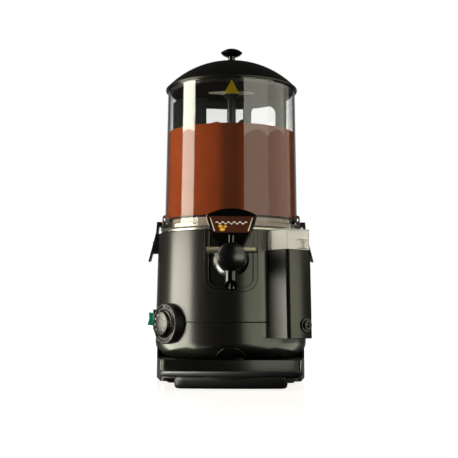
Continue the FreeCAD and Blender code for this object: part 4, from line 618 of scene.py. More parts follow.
def makeShieldEdge():
    # a three-sided bead along the outline, its wide face a chamfer between the front and the side
    path = roundedPath(shieldOutline(), handle["step"], handle["cornerBlur"])
    outward = squareTo(np.roll(path, -1, 0) - np.roll(path, 1, 0))
    outward *= np.sign((outward * (path - path.mean(0))).sum(1, keepdims=True))
    width, proud = handle["chamfer"], handle["proud"]
    front = tankAxis.y - handle["frontReach"]
    ridgeIn, ridgeSink, ridgeDrop = handle["ridge"]
    section = [(-width, -proud), (-width * ridgeIn, -proud * ridgeSink + width * ridgeDrop), (proud, width),
               (-width, width), (-width * handle["tuck"], handle["tuckDeep"])]
    points = np.stack([np.stack([path[:, 0] + outward[:, 0] * a, np.full(len(path), front + b),
                                 path[:, 1] + outward[:, 1] * a], 1) for a, b in section])
    gridPiece("handle_edge", points, "glossAbs", "tap_lever", wrapRows=True,
              sharp=60)


def flatPiece(name, outline, lift, look, body):
    # outline[i] = (x, z) of a star-shaped patch: a fan from its middle, front and back
    front = tankAxis.y - lift
    ring = np.stack([outline[:, 0], np.full(len(outline), front), outline[:, 1]], 1)
    middle = np.repeat(ring.mean(0)[None], len(ring), 0)
    back = np.array([0, inkThick, 0])
    return gridPiece(name, np.stack([middle, ring, ring + back, middle + back]), look, body)


def ribbon(path, halfWidth, lift):
    # a stroke along (x, z): half-width at each point, across the path
    across = squareTo(np.gradient(path, axis=0)) * halfWidth[:, None]
    front = np.full(len(path), tankAxis.y - lift)
    sides = [np.stack([path[:, 0] + sign * across[:, 0], front + depth,
                       path[:, 1] + sign * across[:, 1]], 1)
             for sign, depth in ((-1, 0), (1, 0), (1, inkThick), (-1, inkThick))]
    return capped(np.stack(sides, 1))


# beans: place across and up, and size, in millimetres
label = {
    "front": 199.66 * mm, "low": 229.3 * mm, "high": 248.9 * mm, "lowHalf": 25.0 * mm,
    "highHalf": 31.2 * mm, "barHalf": 0.42 * mm, "barGrow": 0.35 * mm, "waveHeight": 241.4 * mm,
    "waveHalf": 23.5 * mm, "waves": 5.5, "waveTall": 1.5 * mm, "penThin": 0.4 * mm, "penThick": 0.8 * mm,
    "beanFlat": 0.62, "beans": [(-16.2, 236.3, 3.3), (-13.4, 231.7, 4.0), (-9.2, 235.9, 2.6)],
}


def makeLabelPrint():
    for side, name in ((-1, "label_bar_left"), (1, "label_bar_right")):
        rise = np.linspace(0, 1, 12)
        path = np.stack([side * (label["lowHalf"] + (label["highHalf"] - label["lowHalf"]) * rise),
                         label["low"] + (label["high"] - label["low"]) * rise], 1)
        width = label["barHalf"] + label["barGrow"] * (1 - rise)
        gridPiece(name, ribbon(path, width, label["front"]), "creamInk", "tap_lever")
    # a plain wave, z = c sin t, thick on the crests and thin where it crosses the middle
    t = np.linspace(0, label["waves"] * 2 * math.pi, 360)
    x = (t / t[-1] * 2 - 1) * label["waveHalf"]
    z = label["waveHeight"] + label["waveTall"] * np.sin(t)
    pen = label["penThin"] + (label["penThick"] - label["penThin"]) * np.sin(t) ** 2
    gridPiece("label_wave", ribbon(np.stack([x, z], 1), pen, label["front"]), "whiteInk", "tap_lever")
    for index, (x, z, size) in enumerate(label["beans"]):
        turn = around(32)
        bean = np.stack([x * mm + size * mm * np.cos(turn),
                         z * mm + size * mm * label["beanFlat"] * np.sin(turn)], 1)
        flatPiece("label_bean_%d" % index, bean, label["front"], "yellowInk", "tap_lever")


makeBallFace()
makeShieldEdge()
makeLabelPrint()
print("handle dressed")


# Ring nut of the tap, with the wide cone that the light runs round

ringNut = {
    "radius": 28 * mm, "rear": 126 * mm, "coneStart": 130.2 * mm, "coneEnd": 136.6 * mm,
    "coneRadius": 21.6 * mm, "front": 138.9 * mm, "bore": 15.4 * mm, "height": 191 * mm,
    "groove": 0.5 * mm, "rearGap": 0.05 * mm, "step": 0.1 * mm, "swell": 0.5 * mm, "swellShare": 0.7,
    "lip": 0.8 * mm,
}


def makeRingNut():
    n = ringNut
    rear = n["rear"] + n["rearGap"]
    profile = [(n["radius"], rear), (n["radius"], n["coneStart"] - n["groove"]),
               (n["radius"] - n["groove"], n["coneStart"] - n["groove"]),
               (n["radius"] - n["groove"], n["coneStart"]), (n["radius"] - n["step"], n["coneStart"])]
    share = np.linspace(0, 1, 14)[1:]
    bulge = n["swell"] * np.sin(math.pi * share) * n["swellShare"]
    profile += list(zip(n["radius"] - n["step"] + (n["coneRadius"] - n["radius"]) * share + bulge,
                        n["coneStart"] + (n["coneEnd"] - n["coneStart"]) * share + bulge))
    profile += [(n["coneRadius"] - n["lip"], n["coneEnd"]), (n["coneRadius"] - n["lip"], n["front"]),
                (n["bore"], n["front"]), (n["bore"], rear)]
    nut = gridPiece("ring_nut", turnedAlong(profile, 0, n["height"], 160), "satinBall", "machine",
                    wrapRows=True)
    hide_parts("tap_ring_nut")


makeRingNut()


# Beads on the body, painted paler as highlights: the tap panel's edge, its recess and the seam between the
# shells, and a dark line in the seam as painted shade

beads = {
    "panelHalf": 41.6 * mm, "panelLow": 141.8 * mm, "panelRound": 21 * mm, "panelTop": 238 * mm,
    "panelBead": 0.62 * mm, "recessHalf": 35 * mm, "recessLow": 148.5 * mm, "recessRound": 15 * mm,
    "recessTop": 236 * mm, "recessBead": 0.5 * mm, "seamBead": 0.5 * mm, "seamLift": 0.8 * mm,
    "grooveBead": 0.36 * mm, "grooveSink": 0.12 * mm, "lidRise": 488.4 * mm, "lidRadius": 112.25 * mm,
    "lidBead": 0.55 * mm, "scallopHalf": 23.4 * mm, "scallopTall": 18.4 * mm, "scallopBead": 0.5 * mm,
    "bodyRound": 25 * mm, "baseFront": 88.6 * mm, "baseHalf": 104 * mm, "baseTop": 36 * mm,
    "baseBead": 0.45 * mm, "panelSink": 0.15 * mm, "recessSink": 0.35 * mm, "seamProud": 0.02 * mm,
    "lidSink": 0.4, "scallopLift": 0.4 * mm,
}


def uOnBody(name):
    # down the left side, round the bottom corners and up the right, laid on the drafted front
    half, low, corner, top, sink = (beads[name + end] for end in ("Half", "Low", "Round", "Top", "Sink"))
    turn = np.linspace(0, math.pi / 2, 20)
    left = [(-half, z) for z in np.linspace(top, low + corner, 40)]
    leftArc = [(-half + corner - corner * math.cos(a), low + corner - corner * math.sin(a))
               for a in turn[1:]]
    bottom = [(x, low) for x in np.linspace(-half + corner, half - corner, 20)[1:]]
    rightArc = [(half - corner + corner * math.sin(a), low + corner - corner * math.cos(a))
                for a in turn[1:]]
    right = [(half, z) for z in np.linspace(low + corner, top, 40)[1:]]
    x, z = np.array(left + leftArc + bottom + rightArc + right).T
    y = tankAxis.y - np.sqrt((bodySide(z) - sink) ** 2 - x ** 2)
    return np.stack([x, y, z], 1)


def aroundBody(proud, lift):
    # a level line round the sides and front at the seam
    radius = bodySide(body["seam"]) + proud
    turn = np.linspace(math.pi, 0, 160)
    back = np.linspace(body["back"], 0, 20)[:-1]
    front = np.stack([radius * np.cos(turn), tankAxis.y - radius * np.sin(turn)], 1)
    left = np.stack([np.full(len(back), -radius), tankAxis.y + back], 1)
    right = np.stack([np.full(len(back), radius), tankAxis.y + back[::-1]], 1)
    ring = np.vstack([left, front, right])
    return np.column_stack([ring, np.full(len(ring), body["seam"] + lift)])


def makeBeads():
    for name in ("panel", "recess"):
        tubePiece(name + "_bead", uOnBody(name), beads[name + "Bead"], 10, "highlightBeadAbs")
    seam = aroundBody(beads["seamProud"], beads["seamLift"])
    tubePiece("seam_bead", seam, beads["seamBead"], 8, "highlightBeadAbs")
    # painted shade: a near-black line sunk in the seam, standing in for the shade in the joint
    tubePiece("seam_groove_shade", aroundBody(-beads["grooveSink"], 0), beads["grooveBead"], 8, "jointShadow")
    # the lid's rim: a ring of round section, pale as a painted highlight
    turn = around(10)
    section = [(beads["lidRadius"] + beads["lidBead"] * (math.cos(a) - beads["lidSink"]),
                beads["lidRise"] + beads["lidBead"] * math.sin(a)) for a in turn]
    gridPiece("lid_rim_bead", revolved(section, 200), "highlightBeadAbs", "lid", wrapRows=True)
    # rim of the finger scallop: half an ellipse laid on the body's rounded foot, pale as a painted
    # highlight
    turn = np.linspace(0, math.pi, 60)
    x = beads["scallopHalf"] * np.cos(turn)
    z = body["foot"] + beads["scallopLift"] + beads["scallopTall"] * np.sin(turn)
    rounding = beads["bodyRound"]
    rise = np.clip(body["foot"] + rounding - z, 0, rounding)
    radius = bodySide(body["foot"] + rounding) - rounding + np.sqrt(rounding ** 2 - rise ** 2)
    rim = np.column_stack([x, tankAxis.y - np.sqrt(radius ** 2 - x ** 2), z])
    tubePiece("scallop_rim", rim, beads["scallopBead"], 8, "highlightBeadAbs")
    x = np.linspace(-beads["baseHalf"], beads["baseHalf"], 60)
    edge = np.column_stack([x, np.full(60, -beads["baseFront"]), np.full(60, beads["baseTop"])])
    tubePiece("base_edge_bead", edge, beads["baseBead"], 8, "glossAbs", "machine")


makeBeads()
print("ring nut and beads made")


# Dial: a crowned knob with printed figures, and the printed rings round it

dial = {
    "facing": -51, "height": 91 * mm, "rear": 136.35 * mm, "skirt": 22 * mm, "skirtTop": 138.3 * mm,
    "faceRadius": 19.6 * mm, "edge": 144.6 * mm, "crown": 1.5 * mm, "flutes": 24, "fluteDepth": 0.35 * mm,
    "figures": ["0", "30", "40", "50", "60", "70", "80", "90"], "figureRing": 13.6 * mm,
    "figureTall": 2.9 * mm, "figureBold": 0.1 * mm, "firstAngle": 135, "stepAngle": -38.5,
    "ringOuter": 30.2 * mm, "ringInner": 24.5 * mm, "ringReach": 136.85 * mm, "ringHalf": 0.36 * mm,
    "indexFrom": 25.6 * mm, "indexTo": 29.2 * mm, "indexHalf": 0.6 * mm, "crownInset": 0.6 * mm,
    "shoulder": 0.5 * mm, "shoulderRise": 0.8 * mm, "edgeRings": [(0, 0.8), (0.15, 0.3), (0.35, 0.05)],
    "figureLift": 0.05 * mm,
}


def dialCrown(radius):
    return dial["edge"] + dial["crown"] * (1 - (radius / dial["faceRadius"]) ** 2)


def makeKnob():
    d = dial
    face = np.linspace(d["faceRadius"] - d["crownInset"], 0, 24)
    profile = [(0, d["rear"]), (d["skirt"], d["rear"]), (d["skirt"], d["skirtTop"]),
               (d["faceRadius"] + d["shoulder"], d["skirtTop"] + d["shoulderRise"])]
    profile += [(d["faceRadius"] - inset * mm, d["edge"] - drop * mm) for inset, drop in d["edgeRings"]]
    profile += [(r, dialCrown(r)) for r in face]
    points = turnedAlong(profile, d["facing"], d["height"], 192)
    # shallow flutes on the grip: r less by depth times (1 - cos(flutes t)) / 2
    turn = around(192)
    shrink = 1 - d["fluteDepth"] / d["faceRadius"] * (1 - np.cos(d["flutes"] * turn)) / 2
    axisLine = points.mean(1, keepdims=True)
    grip = slice(3, 6)
    points[grip] = axisLine[grip] + (points[grip] - axisLine[grip]) * shrink[None, :, None]
    knob = gridPiece("dial_knob", points, "satinBall", "dial")
    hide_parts("thermostat_knob")


def dialPoint(across, up, reach):
    return facingPoint(dial["facing"], across, reach, dial["height"] + up)


figureLook = {"thick": 0.12 * mm, "sizeShare": 1.4, "curveSteps": 3}


def textOutline(text, tall, bold):
    # figures of the built-in font as a mesh in the XY plane, centred; sizeShare turns their height into
    # the font's size
    curve = bpy.data.curves.new("figure", "FONT")
    curve.body = text
    curve.size = tall * figureLook["sizeShare"]
    curve.align_x = "CENTER"
    curve.align_y = "CENTER"
    curve.extrude = figureLook["thick"] / 2
    curve.offset = bold
    curve.resolution_u = figureLook["curveSteps"]
    holder = bpy.data.objects.new("figure", curve)
    bpy.context.scene.collection.objects.link(holder)
    bpy.context.view_layer.update()
    mesh = bpy.data.meshes.new_from_object(holder.evaluated_get(bpy.context.evaluated_depsgraph_get()))
    bpy.data.objects.remove(holder)
    spots = np.empty(len(mesh.vertices) * 3)
    mesh.vertices.foreach_get("co", spots)
    return mesh, spots.reshape(-1, 3)


def placeText(name, text, tall, bold, placed, look, body="machine"):
    # placed turns (x, y, lift) arrays of the flat figure into points on the piece
    mesh, spots = textOutline(text, tall, bold)
    mesh.vertices.foreach_set("co", placed(spots[:, 0], spots[:, 1], spots[:, 2]).ravel())
    mesh.update()
    return finishPiece(name, mesh, look, body)


def makeDialPrint():
    d = dial
    for index, figure in enumerate(d["figures"]):
        angle = math.radians(d["firstAngle"] + 90 + d["stepAngle"] * index)
        middleX, middleZ = d["figureRing"] * math.cos(angle), d["figureRing"] * math.sin(angle)

        def placed(x, y, lift):
            across, up = middleX + x, middleZ + y
            return dialPoint(across, up, dialCrown(np.hypot(across, up)) + d["figureLift"] + lift)
        placeText("dial_figure_" + figure, figure, d["figureTall"], d["figureBold"], placed, "whiteInk",
                  "dial")
    for name, radius in (("dial_ring_outer", d["ringOuter"]), ("dial_ring_inner", d["ringInner"])):
        half, reach = d["ringHalf"], d["ringReach"]
        section = [(radius - half, reach - inkThick), (radius + half, reach - inkThick),
                   (radius + half, reach), (radius - half, reach)]
        gridPiece(name, turnedAlong(section, d["facing"], d["height"], 160), "greyInk", wrapRows=True)
    # index mark at the top of the plate
    up = np.linspace(d["indexFrom"], d["indexTo"], 6)
    half = d["indexHalf"]
    rows = [(-half, 0), (half, 0), (half, -inkThick), (-half, -inkThick)]
    bar = np.stack([dialPoint(across, up, d["ringReach"] + inkThick + lift) for across, lift in rows], 1)
    gridPiece("dial_index", capped(bar), "whiteInk")


makeKnob()
makeDialPrint()
print("dial dressed")


# Pocket of the level box: a grained plate on its side, a crowned plate on its front and a low drain cap

pocket = {
    "facing": 38.5, "half": 24.3 * mm, "reach": 172.5 * mm, "lean": 0.0255, "low": 69.5 * mm,
    "high": 207 * mm, "margin": 0.9 * mm, "round": 2.1 * mm, "proud": 0.14 * mm, "crown": 1.7 * mm,
    "rootLow": 124.6 * mm, "edgeBead": 0.42 * mm, "sideMargin": 3.4 * mm, "cornerFlat": 4.4 * mm,
    "cornerLift": 0.22 * mm, "frontMargin": 3.4 * mm, "plateSink": 0.2 * mm, "lineInset": 0.5 * mm,
    "rootOut": 0.1 * mm, "rootBack": 0.4 * mm, "footLift": 0.3 * mm, "cornerLow": 0.6 * mm,
    "cornerHigh": 0.2 * mm, "cornerSink": 0.3 * mm,
}


def pocketPoint(across, reach, height):
    return facingPoint(pocket["facing"], across, reach, height)


def pocketReach(height):
    return pocket["reach"] - pocket["lean"] * (height - pocket["low"])


def closedPlate(front, back):
    # two facing grids [row, column] joined round their edges
    return capped(np.concatenate([front, back[:, ::-1]], 1))


# Marks of the level box

# lines by height, figures by place across and up, in millimetres
levelMarks = {
    "sink": 0.15 * mm, "lineLow": 0.03 * mm, "lineHigh": 0.12 * mm, "figureLift": 0.08 * mm,
    "lineHeights": [222.4, 208.9], "from": -3.0 * mm, "to": 18.5 * mm, "half": 0.5 * mm,
    "figures": [("2.0", 8.5, 218.5), ("1.5", 8.5, 212.4)], "figureTall": 4.4 * mm,
    "figureBold": 0.12 * mm,
}


def levelPoint(across, up, lift):
    return pocketPoint(across, pocketReach(up) - levelMarks["sink"] + lift, up)


def makeLevelMarks():
    m = levelMarks
    for index, height in enumerate(m["lineHeights"]):
        across = np.linspace(m["from"], m["to"], 8)
        rows = [(m["half"], m["lineLow"]), (m["half"], m["lineHigh"]), (-m["half"], m["lineHigh"]),
                (-m["half"], m["lineLow"])]
        points = np.stack([levelPoint(across, height * mm + up, lift) for up, lift in rows], 1)
        gridPiece("level_line_%d" % index, capped(points), "blackInk")
    for figure, across, height in m["figures"]:

        def placed(x, y, lift):
            return levelPoint(across * mm + x, height * mm + y, m["figureLift"] + lift)
        name = "level_figure_" + figure.replace(".", "_")
        placeText(name, figure, m["figureTall"], m["figureBold"], placed, "blackInk")


makeLevelMarks()
print("level box marked")


def makePocketPlates():
    low, high, half = pocket["low"], pocket["high"], pocket["half"]
    height = np.linspace(low + pocket["margin"], high - pocket["margin"], 40)[:, None]
    share = np.linspace(0, 1, 16)[None]
    reach = pocket["rootLow"] + (pocketReach(height) - pocket["sideMargin"] - pocket["rootLow"]) * share
    sides = [pocketPoint(-half - lift, reach, height) for lift in (pocket["proud"], -pocket["plateSink"])]
    gridPiece("pocket_side_plate", closedPlate(*sides), "grainedAbs")
    place = np.linspace(-1, 1, 32)[None]
    across = (half - pocket["frontMargin"]) * place
    bulge = pocket["crown"] * (1 - place ** 2)
    faces = [pocketPoint(across, pocketReach(height) + pocket["proud"] + bulge, height),
             pocketPoint(across, pocketReach(height) - pocket["plateSink"], height)]
    gridPiece("pocket_front_plate", closedPlate(*faces), "satinAbs")
    # edge lines: a dark one up the root, painted shade where the pocket meets the body, and a pale one
    # along the foot, a painted highlight
    z = np.linspace(low + pocket["lineInset"], high - pocket["lineInset"], 20)
    root = pocketPoint(-half - pocket["rootOut"], pocket["rootLow"] - pocket["rootBack"], z)
    tubePiece("pocket_root_line", root, pocket["edgeBead"], 8, "jointShadow")
    reach = np.linspace(pocket["rootLow"], pocket["reach"] - pocket["round"], 12)
    foot = pocketPoint(-half, reach, low + pocket["footLift"])
    across = np.linspace(-half + pocket["round"], half - pocket["round"], 20)
    front = pocketPoint(across, pocket["reach"], low + pocket["footLift"])
    tubePiece("pocket_foot_line", np.vstack([foot, front]), pocket["edgeBead"], 8, "highlightBeadAbs")


def makePocketCorners():
    # painted shade: a dark angle strip up each front corner: two short flats joined by an arc of the
    # corner's round
    z = np.linspace(pocket["low"] + pocket["cornerLow"], pocket["high"] - pocket["cornerHigh"], 20)
    turn = np.linspace(0, math.pi / 2, 8)
    flat, rounding = pocket["cornerFlat"], pocket["round"]
    for side, name in ((-1, "pocket_corner_left"), (1, "pocket_corner_right")):
        lines = []
        for proud in (pocket["cornerLift"], -pocket["cornerSink"]):
            inset = rounding - (rounding + proud) * np.sin(turn)
            drop = rounding - (rounding + proud) * np.cos(turn)
            lines.append(np.column_stack([np.concatenate([[-proud], drop, [flat]]),
                                          np.concatenate([[flat], inset, [-proud]])]))
        plan = np.concatenate([lines[0], lines[1][::-1]])[None]
        strip = pocketPoint(side * (pocket["half"] - plan[..., 0]), pocketReach(z)[:, None] - plan[..., 1],
                            z[:, None])
        gridPiece(name, folded(strip), "jointShadow")


levelSleeve = {
    "low": 207.2 * mm, "high": 235.8 * mm, "half": 23.7 * mm, "thick": 1.1 * mm, "rear": 124 * mm,
    "round": 2 * mm, "inset": 0.45 * mm, "bends": [0, 0.35, 0.7, 1],
}


def makeLevelSleeve():
    # clear walls that carry the pocket's faces up to the box's rim: a U in plan, drawn up from row to row
    half, thick, rear, bend = (levelSleeve[key] for key in ("half", "thick", "rear", "round"))
    corner = np.array(levelSleeve["bends"]) * math.pi / 2
    rows = []
    for z in np.linspace(levelSleeve["low"], levelSleeve["high"], 8):
        front = pocketReach(z) - levelSleeve["inset"]
        outer = [(-half, rear)]
        outer += [(-half + bend * (1 - math.cos(a)), front - bend * (1 - math.sin(a))) for a in corner]
        outer += [(half - bend * (1 - math.sin(a)), front - bend * (1 - math.cos(a))) for a in corner]
        outer += [(half, rear)]
        inner = [(x * (half - thick) / half, y - thick if y > rear else y) for x, y in outer[::-1]]
        rows.append(pocketPoint(*np.array(outer + inner).T, z))
    gridPiece("level_sleeve", folded(np.stack(rows)), "hazySan", "machine")


# rings: millimetres in from the rim and up from the cap's foot
drainKnob = {
    "across": 9.4 * mm, "height": 90.3 * mm, "radius": 11.2 * mm, "gap": 0.3 * mm,
    "rings": [(0, 0), (0, 3.4), (0.7, 4.1), (2.6, 4.1),
              (3.0, 3.3), (3.6, 3.3), (4.1, 4.4), (4.9, 4.9)],
    "middle": 5.2 * mm, "flutes": 16, "fluteShare": 0.022, "grip": 0.5 * mm, "barInset": 5.4 * mm,
    "barLift": 5.4 * mm, "bar": 1.3 * mm,
}


def makeDrainCap():
    # a low screw cap: fluted rim, ringed face and a finger bar across it
    d = drainKnob
    face = pocketReach(d["height"]) + d["gap"]
    rings = [(d["radius"] - inset * mm, face + rise * mm) for inset, rise in d["rings"]]
    radius, reach = np.array([(0, face)] + rings + [(0, face + d["middle"])]).T[..., None]
    turn = around(128)
    flute = 1 - d["fluteShare"] * (1 + np.cos(d["flutes"] * turn)) * (radius > d["radius"] - d["grip"])
    points = pocketPoint(d["across"] + radius * np.cos(turn) * flute, reach,
                         d["height"] + radius * np.sin(turn) * flute)
    cap = gridPiece("drain_knob", points, "glossAbs", "water_drain_cap")
    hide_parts("drain_cap")
    across = d["across"] + (d["radius"] - d["barInset"]) * np.linspace(-1, 1, 12)
    line = pocketPoint(across, face + d["barLift"], d["height"])
    tubePiece("drain_knob_bar", line, d["bar"], 10, "glossAbs", "water_drain_cap")


makePocketPlates()
makePocketCorners()
makeLevelSleeve()
makeDrainCap()
print("pocket dressed")


# Tray front: a rolled lip, a bumper below it, and the steel rails that the tray slides along

trayLip = {
    "rearHalf": 104.5 * mm, "frontHalf": 100.4 * mm, "rearReach": 124 * mm, "frontReach": 231.6 * mm,
    "bow": 720 * mm, "blur": 11 * mm, "low": 17.8 * mm, "tall": 8.4 * mm, "thick": 6 * mm,
    "rearShare": 0.14, "web": 13 * mm, "frontWeb": 3.5 * mm, "webThick": 3 * mm, "webDrop": 2.2 * mm,
}
trayBumper = {
    "rearHalf": 75.4 * mm, "frontHalf": 75.4 * mm, "rearReach": 196 * mm, "frontReach": 228.6 * mm,
    "bow": 1500 * mm, "blur": 7 * mm, "low": 1.1 * mm, "tall": 17.3 * mm, "thick": 12 * mm,
    "rearShare": 1,
}
# powers: of the superellipse, of the lip's growth to the front, and of the web's narrowing
rolled = {"section": 0.66, "growth": 0.8, "web": 1.5}
trayRail = {"half": 108.2 * mm, "reach": 119.4 * mm, "low": 20 * mm, "high": 35.5 * mm, "wire": 0.65 * mm}


def makeRolledEdge(name, edge):
    # a section of superellipse, across = thick/2 cos^(2/n), up = tall/2 sin^(2/n) with n = 3, carried
    # up one side, across the bowed front and down the other side
    half = np.linspace(-edge["frontHalf"], edge["frontHalf"], 80)
    front = np.stack([half, edge["frontReach"] - half ** 2 / edge["bow"]], 1)
    side = np.stack([np.linspace(-edge["rearHalf"], -edge["frontHalf"], 40),
                     np.linspace(edge["rearReach"], front[0, 1], 40)], 1)
    raw = np.vstack([side[:-1], front, side[-2::-1] * [-1, 1]])
    length = np.concatenate([[0], np.cumsum(np.linalg.norm(np.diff(raw, axis=0), axis=1))])
    even = np.linspace(0, length[-1], 400)
    path = np.stack([np.interp(even, length, raw[:, i]) for i in (0, 1)], 1)
    reach = int(edge["blur"] / (even[1] - even[0]))
    padded = np.pad(path, ((reach, reach), (0, 0)), "edge")
    path = sum(padded[i:i + len(path)] for i in range(2 * reach + 1)) / (2 * reach + 1)
    outward = squareTo(np.gradient(path, axis=0))
    share = np.clip((path[:, 1] - edge["rearReach"]) / (path[:, 1].max() - edge["rearReach"]), 0, 1)
    tall = edge["tall"] * (edge["rearShare"] + (1 - edge["rearShare"]) * share ** rolled["growth"])
    turn = np.linspace(-0.5 * math.pi, 1.5 * math.pi, 32, endpoint=False)
    across = np.sign(np.cos(turn)) * np.abs(np.cos(turn)) ** rolled["section"] * edge["thick"] / 2
    up = (np.sign(np.sin(turn)) * np.abs(np.sin(turn)) ** rolled["section"] + 1) / 2
    x = path[:, None, 0] + outward[:, None, 0] * across
    y = tankAxis.y - (path[:, None, 1] + outward[:, None, 1] * across)
    z = edge["low"] + tall[:, None] * up
    ring = np.stack([x, y, np.broadcast_to(z, x.shape)], -1)
    gridPiece(name, capped(ring), "trayAbs", "tray")
    if "web" in edge:
        # a flat web from the lip in to the tray's flange, wide at the sides and narrow in front
        inward = edge["web"] * np.abs(outward[:, :1]) ** rolled["web"] + edge["frontWeb"]
        inner = path - outward * inward
        rows = [(path, 0), (path, edge["webThick"]), (inner, edge["webThick"]), (inner, 0)]
        foot = edge["low"] - edge["webDrop"]
        web = np.stack([np.column_stack([line[:, 0], tankAxis.y - line[:, 1],
                                         np.full(len(line), foot + up)]) for line, up in rows], 1)
        gridPiece(name + "_web", capped(web), "trayAbs", "tray")


def makeTrayRails():
    for side, name in ((-1, "tray_rail_left"), (1, "tray_rail_right")):
        z = np.linspace(trayRail["low"], trayRail["high"], 8)
        place = np.full((8, 2), (side * trayRail["half"], tankAxis.y - trayRail["reach"]))
        line = np.column_stack([place, z])
        tubePiece(name, line, trayRail["wire"], 12, "brushedStainless", "machine")


makeRolledEdge("tray_lip", trayLip)
makeRolledEdge("tray_bumper", trayBumper)
makeTrayRails()
print("tray front rolled")


# Camera, lights and floor

cameraSettings = {
    "place": (-3.5 * mm, -1494.5 * mm, 113 * mm), "pitch": 95.142, "roll": 0.2, "focalPixels": 900,
    "framePixels": 458, "sensorMm": 36, "nearClip": 0.05,
}


def makeCamera():
    data = bpy.data.cameras.new("camera")
    data.sensor_width = cameraSettings["sensorMm"]
    data.lens = cameraSettings["focalPixels"] / cameraSettings["framePixels"] * cameraSettings["sensorMm"]
    data.clip_start = cameraSettings["nearClip"]
    camera = bpy.data.objects.new("camera", data)
    bpy.context.scene.collection.objects.link(camera)
    camera.matrix_world = (Matrix.Translation(cameraSettings["place"])
                           @ Matrix.Rotation(math.radians(cameraSettings["pitch"]), 4, "X")
                           @ Matrix.Rotation(math.radians(cameraSettings["roll"]), 4, "Z"))
    bpy.context.scene.camera = camera


# pieces that share a lamp or a flag
trayFront = ["tray_lip", "tray_bumper", "tray_lip_web", "drip_tray"]
shells = ["upper_body_shell", "lower_body_shell"]
labelPieces = ["handle_plate", "label_wave", "label_bar_left", "label_bar_right"]
labelPieces += ["label_bean_%d" % index for index in range(len(label["beans"]))]

# upright panels round the object: azimuths from the front, positive to the right, heights in metres;
# radiance is what the panel's face shows; a lamp is seen in gloss alone unless its settings say otherwise
panelKeys = ("from", "to", "low", "high", "distance", "radiance", "colour")
panels = {
    "leftStripLow": (-99.5, -60.0, -0.05, 0.36, 1.15, 9.3, "#fffbe9",
                     {"matt": True, "without": ["level_sleeve", "level_box", "pocket_corner_left"]}),
    "leftStripMid": (-92.3, -65.6, 0.36, 0.645, 1.15, 4.0, "#fffbe9", {"matt": True}),
    "leftStripHigh": (-92.3, -65.6, 0.645, 1.5, 1.15, 9.0, "#fffbe9", {}),
    "leftFoot": (-118, -56, -1.9, -0.05, 1.15, 8.0, "#fcffe6", {"only": shells}),
    "rightFoot": (28, 122, -1.9, 0.012, 1.35, 2.0, "#fdffe4", {"only": shells}),
    "rightLow": (18, 78, -0.03, 0.36, 1.35, 2.0, "#feffe0", {"without": trayFront}),
    "rightMid": (21, 66, 0.36, 0.69, 1.35, 0.95, "#fffdec", {"without": trayFront}),
    "rightHigh": (21, 66, 0.69, 1.5, 1.35, 1.7, "#fffdec", {"without": trayFront}),
    "farMid": (66, 105, 0.36, 0.69, 1.35, 0.6, "#fffcea", {}),
    "farHigh": (66, 105, 0.69, 1.5, 1.35, 1.2, "#fffcea", {}),
    "edgeHigh": (105, 122, 0.36, 1.5, 1.35, 0.5, "#fffcea", {}),
    "rightFill": (74, 112, 0.1, 1.3, 1.4, 3.4, "#fff8ee", {"gloss": False, "matt": True}),
}

# lamps that lean towards the object: place, size and what they aim at, in metres; one with a list
# of pieces lights only those, or all but those, as a small card or a flag held close to them does
lampKeys = ("place", "wide", "tall", "aim", "radiance", "colour")
leaningLamps = {
    "overhead": ((0.17, 0.5, 1.9), 1.2, 1.2, (0, 0, 0.3), 0.5, "#ffffff",
                 {"gloss": False, "matt": True}),
    "lipCard": ((-0.34, -0.44, 0.24), 0.22, 0.22, (-0.08, -0.2, 0.02), 50.0, "#f6ffee",
                {"only": ["tray_lip", "tray_lip_web"]}),
    "bumperCard": ((-0.34, -0.44, 0.24), 0.22, 0.22, (-0.08, -0.2, 0.02), 16.0, "#f6ffee",
                   {"only": ["tray_bumper", "drip_tray"]}),
    "nutCard": ((-0.15, -0.17, 0.07), 0.16, 0.12, (0, -0.1, 0.19), 24.0, "#fffdf0",
                {"only": ["ring_nut"]}),
    "ballCard": ((0.62, -0.95, 0.2), 0.85, 0.5, (0, -0.2, 0.19), 1.9, "#fdffe6",
                 {"only": ["handle_ball_face", "tap_handle"]}),
    "labelCard": ((0, -1.0, 0.5), 0.5, 0.5, (0, -0.17, 0.24), 7.0, "#fff6ea",
                  {"gloss": False, "matt": True, "only": labelPieces}),
    "baseCard": ((0.072, -0.16, 0.024), 0.082, 0.026, (0.072, 0, 0.024), 4.2, "#fbffe8",
                 {"only": ["base_tub"]}),
    "flankCard": ((0.0665, -0.0975, 0.139), 0.036, 0.136, (0.02, -0.1345, 0.139), 2.0, "#feffe0",
                  {"only": shells}),
}


def placeLamp(name, lamp, place, aim, wide, tall):
    data = bpy.data.lights.new(name, "AREA")
    data.shape = "RECTANGLE"
    data.size = wide
    data.size_y = tall
    data.energy = lamp["radiance"] * math.pi * wide * tall
    data.color = linear(lamp["colour"])[:3]
    holder = bpy.data.objects.new(name, data)
    bpy.context.scene.collection.objects.link(holder)
    holder.matrix_world = Matrix.Translation(place) @ aim.to_track_quat("-Z", "Y").to_matrix().to_4x4()
    holder.visible_camera = False
    holder.visible_glossy = holder.visible_transmission = lamp.get("gloss", True)
    holder.visible_diffuse = lamp.get("matt", False)
    pieces = lamp.get("only", lamp.get("without"))
    if pieces:
        chosen = bpy.data.collections.new(name + "Pieces")
        for piece in pieces:
            chosen.objects.link(nodes[piece] if piece in nodes else bpy.data.objects[piece])
        for item in chosen.collection_objects:
            item.light_linking.link_state = "INCLUDE" if "only" in lamp else "EXCLUDE"
        holder.light_linking.receiver_collection = chosen


